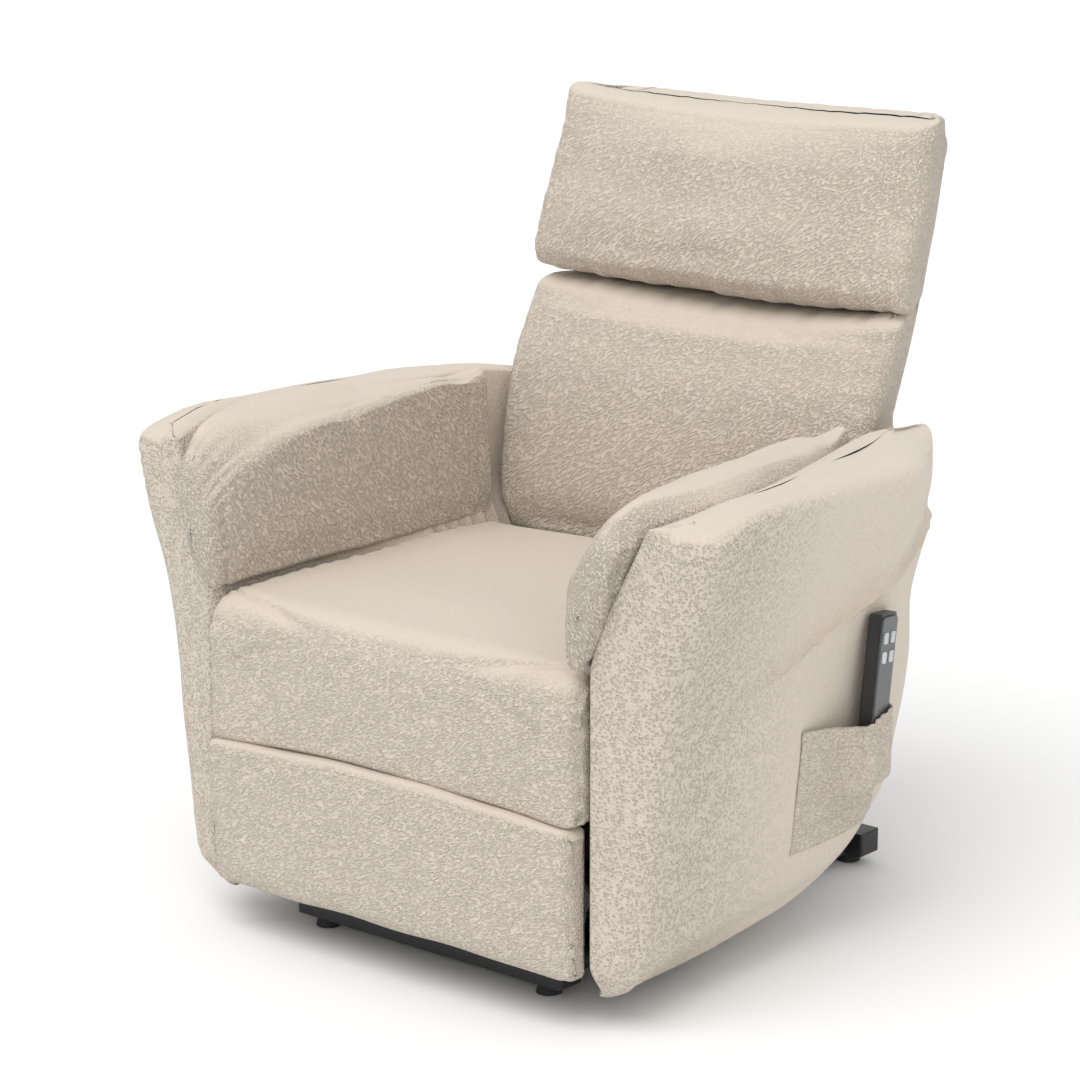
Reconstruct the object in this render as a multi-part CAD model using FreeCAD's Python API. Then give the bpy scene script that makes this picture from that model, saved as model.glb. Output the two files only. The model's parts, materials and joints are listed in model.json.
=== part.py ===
"""Lift recliner chair, in millimetres.

+Z is up, the sitter faces -Y and +X is the side with the handset pocket.
The origin is on the floor under the middle of the upright chair's box.
"""
import FreeCAD, Part
import math
import os

os.makedirs("parts", exist_ok=True)
V = FreeCAD.Vector
X_AXIS = V(1, 0, 0)
Z_AXIS = V(0, 0, 1)

# ---------------------------------------------------------------- driving dimensions
FRONT_Y = -450.0            # front of the closed leg rest
REAR_Y = 450.0              # rear of the upright backrest
TOP_Z = 1020.0
RUN_GAP = 0.05              # radial clearance of every turning pin

SEAT_TOP = 437.0
CUSHION_BOTTOM = 247.0
CUSHION_HALF = 289.0
SEAT_REAR = 95.0
ARM_INNER = 303.0           # inner face of the arm shells
ARM_TOP = 622.0
BACK_HALF = 299.0
HEAD_HALF = 307.0
BACK_BOTTOM = 424.0
BACK_TILT = math.radians(18.2)
BACK_REAR_HALF = 243.0      # the cushions draw in to this at the frame
REAR_COVER_HALF = 207.0     # and the rear cover to this at the very back
BOARD_DEPTH = 22.0          # of the boards in the backrest
CREASE_Z = 768.0            # between the lower back cushion and the head cushion

FOOT_X = 182.0
FRONT_BAR_Y = -341.0
REAR_BAR_Y = 289.0
BAR_HALF = 212.0
RAIL_TOP = 46.0
FOOT_HEIGHT = 14.0

PLATE = 6.0                 # thickness of links and mechanism plates
PIN_R = 6.0
BOSS_R = 12.0
PLATE_X = 270.0             # inner face of the mechanism plates
LINK_A_X = 262.0            # inner faces of the two layers of leg rest links
LINK_B_X = 254.0
PANEL_BRACKET_X = 246.0
LIFT_X = 158.0              # inner face of the lift links
CARRIER_X = 166.0           # inner face of the plates that carry the lift pins
ACTUATOR_X = 60.0           # lift actuator at -X, recline actuator at +X
ARM_BOARD_IN = 292.0        # the two faces of the boards inside the arms
ARM_BOARD_OUT = 301.0
REAR_PANEL_HALF = 225.0     # of the dust cover behind the seat
CROSS_RAIL_LOW = 205.0      # underside of the two rails that carry the actuators

# joints, as (y, z)
LIFT_BASE = (-230.0, 60.0)
LIFT_CHAIR = (190.0, 125.0)
RECLINE = (130.0, 400.0)
LEG_CHAIR = (-368.0, 227.0)
LEG_KNEE = (-286.0, 62.0)
LEG_PANEL = (-392.0, 215.0)
LIFT_MOTOR = (-200.0, 140.0)
LIFT_LEVER_LENGTH = 80.0
LIFT_LEVER_LEAN = math.radians(16.5)
RECLINE_MOTOR = (-150.0, 160.0)
RECLINE_LEVER_LENGTH = 175.0
RECLINE_LEVER_ANGLE = math.radians(-60.0)

HANDSET_WIDTH = 50.0
HANDSET_THICK = 20.0
HANDSET_LENGTH = 205.0
HANDSET_FOOT = V(401.5, 5.0, 231.2)
HANDSET_YAW = 12.0          # degrees that its face turns towards +Y
HANDSET_LEAN = 8.0          # degrees that its top leans towards +Y
BUTTON_W = 13.0
BUTTON_H = 15.0
BUTTON_GAP = 0.3

LIFT_LEVER_END = (LIFT_CHAIR[0] - LIFT_LEVER_LENGTH * math.sin(LIFT_LEVER_LEAN),
                  LIFT_CHAIR[1] - LIFT_LEVER_LENGTH * math.cos(LIFT_LEVER_LEAN))
RECLINE_LEVER_END = (RECLINE[0] + RECLINE_LEVER_LENGTH * math.cos(RECLINE_LEVER_ANGLE),
                     RECLINE[1] + RECLINE_LEVER_LENGTH * math.sin(RECLINE_LEVER_ANGLE))


# ---------------------------------------------------------------- shape helpers
def save(name, *shapes):
    shape = shapes[0] if len(shapes) == 1 else Part.makeCompound(list(shapes))
    shape.exportStep("parts/" + name + ".step")


def box(x0, x1, y0, y1, z0, z1):
    return Part.makeBox(x1 - x0, y1 - y0, z1 - z0, V(x0, y0, z0))


def mirrored(shape):
    return shape.mirror(V(0, 0, 0), X_AXIS)


def rod(y, z, radius, x0, x1):
    """A round bar along X."""
    return Part.makeCylinder(radius, x1 - x0, V(x0, y, z), X_AXIS)


def profile(points, x0, x1, radius=0.0):
    """An outline in (y, z) carried along X, with its long edges rounded."""
    corners = [V(x0, y, z) for y, z in points]
    solid = Part.Face(Part.makePolygon(corners + corners[:1])).extrude(V(x1 - x0, 0, 0))
    if radius:
        edges = [e for e in solid.Edges if abs(e.tangentAt(e.FirstParameter).x) > 0.99]
        solid = solid.makeFillet(radius, edges)
    return solid


def bar(start, end, half_width, x0, x1):
    """A flat link with round ends between two pivots, each given as (y, z)."""
    dy = end[0] - start[0]
    dz = end[1] - start[1]
    length = math.hypot(dy, dz)
    ny = -dz / length * half_width
    nz = dy / length * half_width
    body = profile([(start[0] + ny, start[1] + nz), (end[0] + ny, end[1] + nz),
                    (end[0] - ny, end[1] - nz), (start[0] - ny, start[1] - nz)], x0, x1)
    for y, z in (start, end):
        body = body.fuse(rod(y, z, half_width, x0, x1))
    return body.removeSplitter()


def drilled(shape, pivot, radius, x0, x1):
    return shape.cut(rod(pivot[0], pivot[1], radius, x0 - 1, x1 + 1))


def headed_pin(pivot, x0, x1, radius=PIN_R, head=2.5):
    """A pivot pin along X with a flat head at each end."""
    pin = rod(pivot[0], pivot[1], radius, x0, x1)
    pin = pin.fuse(rod(pivot[0], pivot[1], radius + 3, x0 - head, x0))
    pin = pin.fuse(rod(pivot[0], pivot[1], radius + 3, x1, x1 + head))
    return pin.removeSplitter()


def along(start, end, radius, x, offset=0.0, length=None):
    """A round bar in the plane of constant X, on the line between two points."""
    direction = V(0, end[0] - start[0], end[1] - start[1])
    total = direction.Length
    direction.normalize()
    origin = V(x, start[0], start[1]) + direction * offset
    return Part.makeCylinder(radius, length or total - offset, origin, direction)


def loft(sections):
    """A solid through closed outlines that all have the same number of corners."""
    wires = [Part.makePolygon(list(s) + [s[0]]) for s in sections]
    return Part.makeLoft(wires, True, True)


# ---------------------------------------------------------------- base on the floor
def base():
    front = box(-BAR_HALF, BAR_HALF, FRONT_BAR_Y - 20, FRONT_BAR_Y + 20, FOOT_HEIGHT, RAIL_TOP)
    rear = box(-BAR_HALF, BAR_HALF, REAR_BAR_Y - 20, REAR_BAR_Y + 20, FOOT_HEIGHT, RAIL_TOP)
    save("base_crossbars", front, rear)
    rail = box(FOOT_X - 12, FOOT_X + 12, FRONT_BAR_Y + 20, REAR_BAR_Y - 20, FOOT_HEIGHT + 2, RAIL_TOP)
    save("base_rails", rail, mirrored(rail))

    feet = []
    caps = []
    for y in (FRONT_BAR_Y, REAR_BAR_Y):
        for side in (-1, 1):
            feet.append(Part.makeCone(16, 13, FOOT_HEIGHT, V(side * FOOT_X, y, 0), Z_AXIS))
            cap = box(BAR_HALF, BAR_HALF + 5, y - 20, y + 20, FOOT_HEIGHT, RAIL_TOP)
            edges = [e for e in cap.Edges if abs(e.CenterOfMass.x - BAR_HALF - 5) < 0.1]
            cap = cap.makeFillet(3, edges)
            caps.append(cap if side > 0 else mirrored(cap))
    save("rubber_feet", *feet)
    save("bar_end_caps", *caps)

    y, z = LIFT_BASE
    bracket = profile([(y - 28, RAIL_TOP - 20), (y + 28, RAIL_TOP - 20), (y + 28, RAIL_TOP + 4),
                       (y + 12, z + 16), (y - 12, z + 16), (y - 28, RAIL_TOP + 4)],
                      CARRIER_X, CARRIER_X + 4)
    bracket = drilled(bracket, LIFT_BASE, PIN_R, CARRIER_X, CARRIER_X + 4)
    save("lift_base_brackets", bracket, mirrored(bracket))
    pin = headed_pin(LIFT_BASE, LIFT_X, CARRIER_X + 4)
    save("lift_base_pins", pin, mirrored(pin))


# ---------------------------------------------------------------- lift links
def lift_links():
    link = bar(LIFT_BASE, LIFT_CHAIR, BOSS_R, LIFT_X, LIFT_X + PLATE)
    link = drilled(link, LIFT_BASE, PIN_R + RUN_GAP, LIFT_X, LIFT_X + PLATE)
    save("lift_links", link, mirrored(link))

    reach = 0.3
    tube_y = LIFT_BASE[0] + reach * (LIFT_CHAIR[0] - LIFT_BASE[0])
    tube_z = LIFT_BASE[1] + reach * (LIFT_CHAIR[1] - LIFT_BASE[1])
    front = rod(tube_y, tube_z, 10, -LIFT_X, LIFT_X)
    rear = rod(LIFT_CHAIR[0], LIFT_CHAIR[1], 11, -LIFT_X, LIFT_X)
    x = -ACTUATOR_X
    lever = drilled(bar(LIFT_CHAIR, LIFT_LEVER_END, 14, x - 4, x + 4), LIFT_LEVER_END, 9, x - 4, x + 4)
    save("lift_link_tubes", front, rear.fuse(lever).removeSplitter())

    stub = rod(LIFT_CHAIR[0], LIFT_CHAIR[1], PIN_R, LIFT_X + PLATE, CARRIER_X + PLATE)
    stub = stub.fuse(rod(LIFT_CHAIR[0], LIFT_CHAIR[1], PIN_R + 3, CARRIER_X + PLATE,
                         CARRIER_X + PLATE + 2.5)).removeSplitter()
    save("lift_chair_pins", stub, mirrored(stub))


def actuator(name, motor, lever_end, x, tube_length, rod_start):
    """A linear actuator: a gear housing with its motor across it, an outer tube and a rod."""
    tube = along(motor, lever_end, 13, x, 22, tube_length)
    tube = tube.cut(along(motor, lever_end, 8 + RUN_GAP, x, 40, tube_length))
    save(name + "_tube", tube)
    y, z = motor
    gearbox = profile([(y - 18, z - 16), (y + 20, z - 24), (y + 56, z - 22), (y + 56, z + 18),
                       (y + 20, z + 20), (y - 18, z + 16)], x - 17, x + 17, 6)
    gearbox = gearbox.cut(along(motor, lever_end, 13, x, 22, 80))
    gearbox = drilled(gearbox, motor, PIN_R + RUN_GAP, x - 17, x + 17)
    outward = 1 if x > 0 else -1
    start = x + outward * 17
    can = Part.makeCylinder(19, 62, V(start, y + 36, z - 2), X_AXIS * outward)
    can = can.makeFillet(4, [e for e in can.Edges if abs(e.CenterOfMass.x - start) > 60])
    save(name + "_motor", gearbox, can)

    length = math.hypot(lever_end[0] - y, lever_end[1] - z)
    save(name + "_rod", along(motor, lever_end, 8, x, rod_start, length - rod_start - 24))


# ---------------------------------------------------------------- seat frame
def seat_frame():
    y, z = RECLINE
    outline = [(-388, 200), (-388, 242), (108, 242), (112, z), (y - 8, z + 14), (y + 8, z + 14),
               (148, z), (152, 220), (205, 180), (205, 140), (140, 140), (110, 200)]
    plate = profile(outline, PLATE_X, PLATE_X + PLATE)
    plate = drilled(plate, RECLINE, PIN_R, PLATE_X, PLATE_X + PLATE)
    plate = drilled(plate, LEG_CHAIR, PIN_R, PLATE_X, PLATE_X + PLATE)
    bolt_places = [(-270, 221), (-130, 221), (60, 221), (130, 190)]
    for place in bolt_places:
        plate = drilled(plate, place, 4, PLATE_X, PLATE_X + PLATE)
    save("mechanism_plates", plate, mirrored(plate))

    board = profile([(-388, 130), (-388, 425), (80, 425), (96, 390), (190, 360), (190, 300), (170, 220),
                     (110, 140), (40, 105), (-360, 105)], ARM_BOARD_IN, ARM_BOARD_OUT)
    for place in bolt_places:
        board = drilled(board, place, 4, ARM_BOARD_IN, ARM_BOARD_OUT)
    save("arm_frames", board, mirrored(board))

    bolts = []
    for place in bolt_places:
        bolt = rod(place[0], place[1], 4, PLATE_X, ARM_BOARD_OUT)
        bolt = bolt.fuse(rod(place[0], place[1], 7, PLATE_X - 5, PLATE_X)).removeSplitter()
        bolts += [bolt, mirrored(bolt)]
    save("arm_bolts", *bolts)

    low = CROSS_RAIL_LOW
    save("seat_cross_rails", box(-PLATE_X, PLATE_X, -330, -305, low, low + 25),
         box(-PLATE_X, PLATE_X, -232, -207, low, low + 25), box(-PLATE_X, PLATE_X, 152, 177, 150, 175))

    straps = [box(-PLATE_X, PLATE_X, at, at + 50, 242.5, 245.5) for at in range(-360, 60, 90)]
    save("seat_webbing", *straps)

    y, z = LIFT_CHAIR
    carrier = profile([(152, 150), (y - 14, z - 8), (y, z - 14), (y + 14, z - 4), (y + 14, z + 12),
                       (182, 178), (177, 178), (177, 150)], CARRIER_X, CARRIER_X + PLATE)
    carrier = carrier.cut(box(-BAR_HALF, BAR_HALF, 152, 177, 150, 175))
    carrier = drilled(carrier, LIFT_CHAIR, PIN_R + RUN_GAP, CARRIER_X, CARRIER_X + PLATE)
    save("lift_carriers", carrier, mirrored(carrier))

    brackets = []
    pins = []
    y, z = LIFT_MOTOR
    lift_ear = [(y - 14, z - 10), (y, z - 14), (y + 14, z - 10), (y + 14, low), (y - 32, low)]
    y, z = RECLINE_MOTOR
    recline_ear = [(y - 14, z - 10), (y, z - 14), (y + 14, z - 10), (y + 14, low - 15), (-207, low),
                   (-232, low), (y - 14, low - 15)]
    for x, motor, ear in ((-ACTUATOR_X, LIFT_MOTOR, lift_ear), (ACTUATOR_X, RECLINE_MOTOR, recline_ear)):
        for face in (x - 24, x + 19):
            brackets.append(drilled(profile(ear, face, face + 5), motor, PIN_R, face, face + 5))
        pins.append(rod(motor[0], motor[1], PIN_R, x - 24, x + 24))
    save("actuator_brackets", *brackets)
    save("actuator_pins", *pins)

    hinge_pin = headed_pin(RECLINE, LINK_A_X, PLATE_X + PLATE)
    save("recline_pins", hinge_pin, mirrored(hinge_pin))
    leg_pin = headed_pin(LEG_CHAIR, LINK_A_X, PLATE_X + PLATE)
    save("leg_link_pins", leg_pin, mirrored(leg_pin))

    control = box(-248, -178, -110, 10, 196, 236)
    inlet = box(-226, -200, -18, 10.5, 208, 224)
    save("control_box", control.cut(inlet))
    socket = box(-226, -200, -18, 10, 208, 224).cut(box(-222, -204, -10, 11, 211, 221))
    save("power_inlet", socket)

    save("rear_cover", box(-REAR_PANEL_HALF, REAR_PANEL_HALF, 238, 246, 150, 300))


# ---------------------------------------------------------------- arms
# Rows of the arm's outside: height, half-width at the front, half-width at the
# rear of the flat side, and how far back the corner reaches at two half-widths.
ARM_ROWS = [
    (40, 322, 314, -215, -300),
    (56, 346, 325, -85, -260),
    (95, 360, 352, 60, -70),
    (150, 368, 368, 140, 55),
    (243, 377, 374, 187, 119),
    (330, 384, 380, 208, 148),
    (430, 402, 381, 212, 146),
    (468, 416, 384, 226, 158),
    (500, 428, 402, 240, 172),
    (560, 448, 430, 257, 195),
    (605, 455, 450, 256, 190),
    (622, 444, 440, 246, 180),
]
ARM_FRONT_Y = -405.0


def arm_outline(row):
    z, front_half, side_half, reach_inner, reach_outer = row
    front = ARM_FRONT_Y + (26 if z > 610 else 0) + (22 if z < 50 else 0)
    side_y = max(reach_outer - 70, front + 60)
    shoulder = min(360.0, side_half - 4)
    return [V(ARM_INNER, front, z), V(front_half - 20, front, z), V(front_half, front + 25, z),
            V(side_half, min(-70, side_y - 20), z), V(side_half - 0.5, side_y, z),
            V(shoulder, max(reach_outer, front + 75), z),
            V(325, reach_inner - 4, z) if side_half > 330 else V(310, reach_inner - 4, z),
            V(ARM_INNER, reach_inner + 10, z)]


def below_seam(offset):
    """Everything under the sloping seam between the side panel and the arm shell."""
    def seam(y):
        return 447 + 0.29 * y + offset
    return profile([(-600, seam(-600)), (400, seam(400)), (400, -50), (-600, -50)], 250, 520)


def pad_room():
    """The wedge inside the arm that its pad fills."""
    def section(y, spread):
        return [V(270, y, SEAT_TOP + 1), V(ARM_INNER, y, SEAT_TOP + 1),
                V(ARM_INNER + spread, y, ARM_TOP), V(ARM_INNER + spread, y, 700), V(270, y, 700)]
    return loft([section(-430, 143), section(150, 2.6)])


def arm_pad():
    inner = ARM_INNER - 21
    bottom = SEAT_TOP + 3

    def section(y, spread, lift, size):
        """The pad's outline at one depth, drawn in towards its middle by size."""
        top = ARM_TOP + lift
        outer = ARM_INNER - 3 + spread
        corners = [(inner, bottom), (ARM_INNER - 5, bottom), (outer, ARM_TOP - 4), (outer - 12, top - 6),
                   (inner + 22, top), (inner, top - 22)]
        middle_x = sum(x for x, z in corners) / len(corners)
        middle_z = sum(z for x, z in corners) / len(corners)
        return [V(middle_x + (x - middle_x) * size, y, middle_z + (z - middle_z) * size)
                for x, z in corners]

    return loft([section(-424, 112, 16, 0.6), section(-396, 128, 24, 0.93), section(-250, 95, 34, 1),
                 section(-60, 48, 36, 1), section(76, 15, 32, 1), section(101, 9, 22, 0.9)])


def arms():
    whole = loft([arm_outline(row) for row in ARM_ROWS])
    shell = whole.cut(below_seam(0.5)).cut(pad_room())
    panel = whole.common(below_seam(-0.5)).cut(pad_room())
    pad = arm_pad()
    save("right_arm_shell", shell)
    save("left_arm_shell", mirrored(shell))
    save("right_side_panel", panel)
    save("left_side_panel", mirrored(panel))
    save("right_arm_pad", pad)
    save("left_arm_pad", mirrored(pad))

    wall = 3.0
    low, high = 222.0, 312.0
    front, rear = -108.0, 86.0
    pouch = box(372, 422, front, rear, low, high).cut(box(371, 422 - wall, front + wall, rear - wall,
                                                          low + wall, high + 1))
    pouch = pouch.cut(whole.copy())
    save("handset_pocket", max(pouch.Solids, key=lambda s: s.Volume))


# ---------------------------------------------------------------- seat and leg rest
def seat_cushion():
    front = -441.0
    outline = [(front + 6, CUSHION_BOTTOM + 5), (front + 1, 300), (front, 385), (front + 14, 418),
               (front + 50, SEAT_TOP - 2), (-300, SEAT_TOP), (SEAT_REAR, SEAT_TOP - 4),
               (SEAT_REAR, 330), (20, CUSHION_BOTTOM), (front + 20, CUSHION_BOTTOM)]
    save("seat_cushion", profile(outline, -CUSHION_HALF, CUSHION_HALF))


def leg_rest():
    link = bar(LEG_CHAIR, LEG_KNEE, 10, LINK_A_X, LINK_A_X + PLATE)
    link = link.fuse(rod(LEG_CHAIR[0], LEG_CHAIR[1], BOSS_R, LINK_A_X, LINK_A_X + PLATE))
    link = link.fuse(rod(LEG_KNEE[0], LEG_KNEE[1], BOSS_R, LINK_A_X, LINK_A_X + PLATE)).removeSplitter()
    link = drilled(link, LEG_CHAIR, PIN_R + RUN_GAP, LINK_A_X, LINK_A_X + PLATE)
    link = drilled(link, LEG_KNEE, PIN_R, LINK_A_X, LINK_A_X + PLATE)
    save("leg_links_rear", link, mirrored(link))
    knee = headed_pin(LEG_KNEE, LINK_B_X, LINK_A_X + PLATE)
    save("leg_knee_pins", knee, mirrored(knee))

    fore = bar(LEG_KNEE, LEG_PANEL, 10, LINK_B_X, LINK_B_X + PLATE)
    fore = drilled(fore, LEG_KNEE, PIN_R + RUN_GAP, LINK_B_X, LINK_B_X + PLATE)
    fore = drilled(fore, LEG_PANEL, 5 + RUN_GAP, LINK_B_X, LINK_B_X + PLATE)
    save("leg_links_front", fore, mirrored(fore))
    reach = 0.62
    bar_y = LEG_KNEE[0] + reach * (LEG_PANEL[0] - LEG_KNEE[0])
    bar_z = LEG_KNEE[1] + reach * (LEG_PANEL[1] - LEG_KNEE[1])
    save("leg_cross_bar", rod(bar_y, bar_z, 8, -LINK_B_X, LINK_B_X))

    y, z = LEG_PANEL
    board_front, board_rear = -415.0, -407.0
    bracket = profile([(board_rear, z - 30), (board_rear, z + 24), (y - 6, z + 10), (y + 4, z + 10),
                       (y + 10, z + 4), (y + 10, z - 4), (y + 4, z - 10), (y - 6, z - 12)],
                      PANEL_BRACKET_X, PANEL_BRACKET_X + PLATE)
    bracket = drilled(bracket, LEG_PANEL, 5, PANEL_BRACKET_X, PANEL_BRACKET_X + PLATE)
    save("leg_panel_brackets", bracket, mirrored(bracket))
    pin = headed_pin(LEG_PANEL, PANEL_BRACKET_X, LINK_B_X + PLATE, 5, 2)
    save("leg_panel_pins", pin, mirrored(pin))
    save("leg_panel_board", box(-270, 270, board_front, board_rear, 75, 240))
    cushion = profile([(board_front - 0.5, 66), (FRONT_Y + 12, 62), (FRONT_Y + 3, 78),
                       (FRONT_Y, 130), (FRONT_Y, 215), (FRONT_Y + 5, 236),
                       (FRONT_Y + 12, 243), (board_front - 0.5, 245)], -287, 287)
    save("leg_panel_cushion", cushion)


# ---------------------------------------------------------------- backrest
def back_frame_y(z):
    """The front of the back frame's boards, which lean back with the backrest."""
    return 205 + math.tan(BACK_TILT) * (z - 408)


def tapered_plan(front_half, rear_half, z0, z1, front_y, rear_y):
    """A block whose sides draw in towards the rear, leaning with the backrest."""
    lean = math.tan(BACK_TILT)
    sections = []
    for z in (z0, z1):
        shift = lean * (z - 408)
        sections.append([V(-front_half, front_y + shift, z), V(front_half, front_y + shift, z),
                         V(rear_half, rear_y + shift, z), V(-rear_half, rear_y + shift, z)])
    return loft(sections)


def board_section(z, x0, x1):
    """The backrest's boards cut level at one height, between two places across."""
    y = back_frame_y(z)
    return [V(x0, y, z), V(x1, y, z), V(x1, y + BOARD_DEPTH, z), V(x0, y + BOARD_DEPTH, z)]


def leaning_strip(z0, z1, front, rear):
    """A strip across the backrest, from front to rear measured behind the boards' front."""
    y0, y1 = back_frame_y(z0), back_frame_y(z1)
    return profile([(y0 + front, z0), (y0 + rear, z0), (y1 + rear, z1), (y1 + front, z1)], -240, 240)


def backrest():
    lower = profile([(108, BACK_BOTTOM), (107, 470), (111, 540), (126, 602), (146, 655), (171, 700),
                     (192, 735), (202, CREASE_Z - 4), (back_frame_y(CREASE_Z - 4) - 1, CREASE_Z - 4),
                     (back_frame_y(BACK_BOTTOM) - 1, BACK_BOTTOM)], -BACK_HALF, BACK_HALF)
    lower = lower.common(tapered_plan(BACK_HALF + 14, BACK_REAR_HALF, 380, 1060, 60, 204))
    save("lower_back_cushion", lower)

    low = CREASE_Z - 2
    head = profile([(203, low), (192, low + 25), (196, 830), (222, 890), (246, 950), (262, 985),
                    (280, TOP_Z - 9), (310, TOP_Z), (back_frame_y(998) - 1, 998),
                    (back_frame_y(low) - 1, low)], -HEAD_HALF, HEAD_HALF)
    head = head.common(tapered_plan(HEAD_HALF + 14, BACK_REAR_HALF, 380, 1060, 60, 204))
    save("head_cushion", head)

    levels = [(BACK_BOTTOM, 255), (480, 255), (600, 222), (985, 205)]
    post = loft([board_section(z, half - 40, half) for z, half in levels])
    save("back_uprights", post, mirrored(post))
    between = loft([board_section(z, 40 - half, half - 40) for z, half in levels])
    rails = []
    for z0, z1 in ((BACK_BOTTOM + 2, 474), (750, 790), (940, 985)):
        rails.append(leaning_strip(z0, z1, 0, BOARD_DEPTH).common(between))
    save("back_rails", *rails)
    straps = []
    for middle in (530, 590, 650, 710, 835, 890):
        straps.append(leaning_strip(middle - 20, middle + 20, 2, 5).common(between))
    save("back_webbing", *straps)

    bottom, top = BACK_BOTTOM + 8, 992
    inner = BOARD_DEPTH + 1
    outer = REAR_Y - back_frame_y(985)
    rear = profile([(back_frame_y(bottom) + inner, bottom), (back_frame_y(bottom) + outer - 14, bottom),
                    (back_frame_y(470) + outer, 470), (back_frame_y(960) + outer, 960),
                    (REAR_Y, 976), (REAR_Y - 8, top - 4), (back_frame_y(top) + inner, top)], -265, 265)
    rear = rear.common(tapered_plan(BACK_REAR_HALF + 77, REAR_COVER_HALF, 380, 1060, 60, 205 + outer))
    save("back_rear_cover", rear)

    y, z = RECLINE
    frame_y = back_frame_y(BACK_BOTTOM)
    bracket = profile([(y - 10, z - 10), (y, z - 14), (frame_y + 10, z - 6), (frame_y + 28, z + 4),
                       (frame_y + 36, 470), (frame_y + 18, 470), (frame_y - 2, 421), (y + 20, z + 16),
                       (y, z + 14), (y - 10, z + 10)], LINK_A_X, LINK_A_X + PLATE)
    bracket = bracket.cut(profile([(back_frame_y(420), 420), (back_frame_y(420) - 300, 420),
                                   (back_frame_y(475) - 300, 475), (back_frame_y(475), 475)],
                                  LINK_A_X - 1, LINK_A_X + PLATE + 1))
    bracket = drilled(bracket, RECLINE, PIN_R + RUN_GAP, LINK_A_X, LINK_A_X + PLATE)
    save("recline_brackets", bracket, mirrored(bracket))
    ties = []
    for z_tie in (438, 458):
        tie = rod(back_frame_y(z_tie) + 13, z_tie, 3.5, 255, LINK_A_X)
        ties += [tie, mirrored(tie)]
    save("bracket_bolts", *ties)

    x = ACTUATOR_X
    top_joint = (back_frame_y(440) + 12, 412)
    lever = bar(top_joint, RECLINE_LEVER_END, 11, x - 4, x + 4)
    lever = lever.fuse(box(x - 4, x + 4, top_joint[0] - 11, top_joint[0] + 9, 412, BACK_BOTTOM + 2))
    lever = drilled(lever.removeSplitter(), RECLINE_LEVER_END, 7, x - 4, x + 4)
    save("recline_lever", lever)


# ---------------------------------------------------------------- handset
def handset_placement():
    turn = FreeCAD.Rotation(X_AXIS, -HANDSET_LEAN).multiply(FreeCAD.Rotation(Z_AXIS, HANDSET_YAW))
    return FreeCAD.Placement(HANDSET_FOOT, turn)


def placed(shape):
    """Local axes: thickness along x with the face at +x, width along y, length along z."""
    copy = shape.copy()
    copy.Placement = handset_placement()
    return copy


def handset():
    half_w = HANDSET_WIDTH / 2
    half_t = HANDSET_THICK / 2
    case = box(-half_t, half_t - 3, -half_w, half_w, 0, HANDSET_LENGTH)
    case = case.makeFillet(4, [e for e in case.Edges if abs(e.CenterOfMass.x - half_t + 3) > 1
                               and e.Length > 10])
    plate = box(half_t - 3, half_t, -half_w + 2, half_w - 2, 4, HANDSET_LENGTH - 4)
    plate = plate.makeFillet(6, [e for e in plate.Edges if abs(e.tangentAt(0).x) > 0.99])
    buttons = {}
    for row, z in enumerate((HANDSET_LENGTH - 30, HANDSET_LENGTH - 54)):
        for column, y in enumerate((-11, 11)):
            hole = box(half_t - 2, half_t + 1, y - BUTTON_W / 2, y + BUTTON_W / 2,
                       z - BUTTON_H / 2, z + BUTTON_H / 2)
            plate = plate.cut(hole)
            gap = BUTTON_GAP
            key = box(half_t - 1.2, half_t + 1.2, y - BUTTON_W / 2 + gap, y + BUTTON_W / 2 - gap,
                      z - BUTTON_H / 2 + gap, z + BUTTON_H / 2 - gap)
            key = key.makeFillet(3, [e for e in key.Edges if abs(e.tangentAt(0).x) > 0.99])
            buttons[("lift", "recline")[row] + ("_up", "_down")[column] + "_button"] = key
    save("handset_case", placed(case))
    save("handset_face", placed(plate))
    for name, key in buttons.items():
        save(name, placed(key))


# ---------------------------------------------------------------- whole chair
base()
lift_links()
actuator("lift_actuator", LIFT_MOTOR, LIFT_LEVER_END, -ACTUATOR_X, 250, 60)
actuator("recline_actuator", RECLINE_MOTOR, RECLINE_LEVER_END, ACTUATOR_X, 178, 180)
seat_frame()
arms()
seat_cushion()
leg_rest()
backrest()
handset()
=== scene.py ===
import json
import math

import bmesh
import bpy
import numpy as np
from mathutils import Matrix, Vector


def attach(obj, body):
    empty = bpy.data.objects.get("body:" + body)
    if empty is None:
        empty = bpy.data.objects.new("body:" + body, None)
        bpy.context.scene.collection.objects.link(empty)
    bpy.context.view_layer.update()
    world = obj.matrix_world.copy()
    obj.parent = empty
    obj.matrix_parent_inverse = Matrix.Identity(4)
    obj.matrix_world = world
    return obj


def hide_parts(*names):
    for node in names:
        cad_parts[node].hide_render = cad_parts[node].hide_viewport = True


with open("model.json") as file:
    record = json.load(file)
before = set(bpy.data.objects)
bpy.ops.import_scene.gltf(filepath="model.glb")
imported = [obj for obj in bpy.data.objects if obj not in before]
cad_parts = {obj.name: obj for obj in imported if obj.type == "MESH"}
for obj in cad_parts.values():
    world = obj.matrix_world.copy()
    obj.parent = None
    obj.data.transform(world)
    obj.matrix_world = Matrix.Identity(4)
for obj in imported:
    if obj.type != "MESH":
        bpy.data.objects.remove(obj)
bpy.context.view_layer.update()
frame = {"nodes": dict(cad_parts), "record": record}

MM = 0.001

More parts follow.
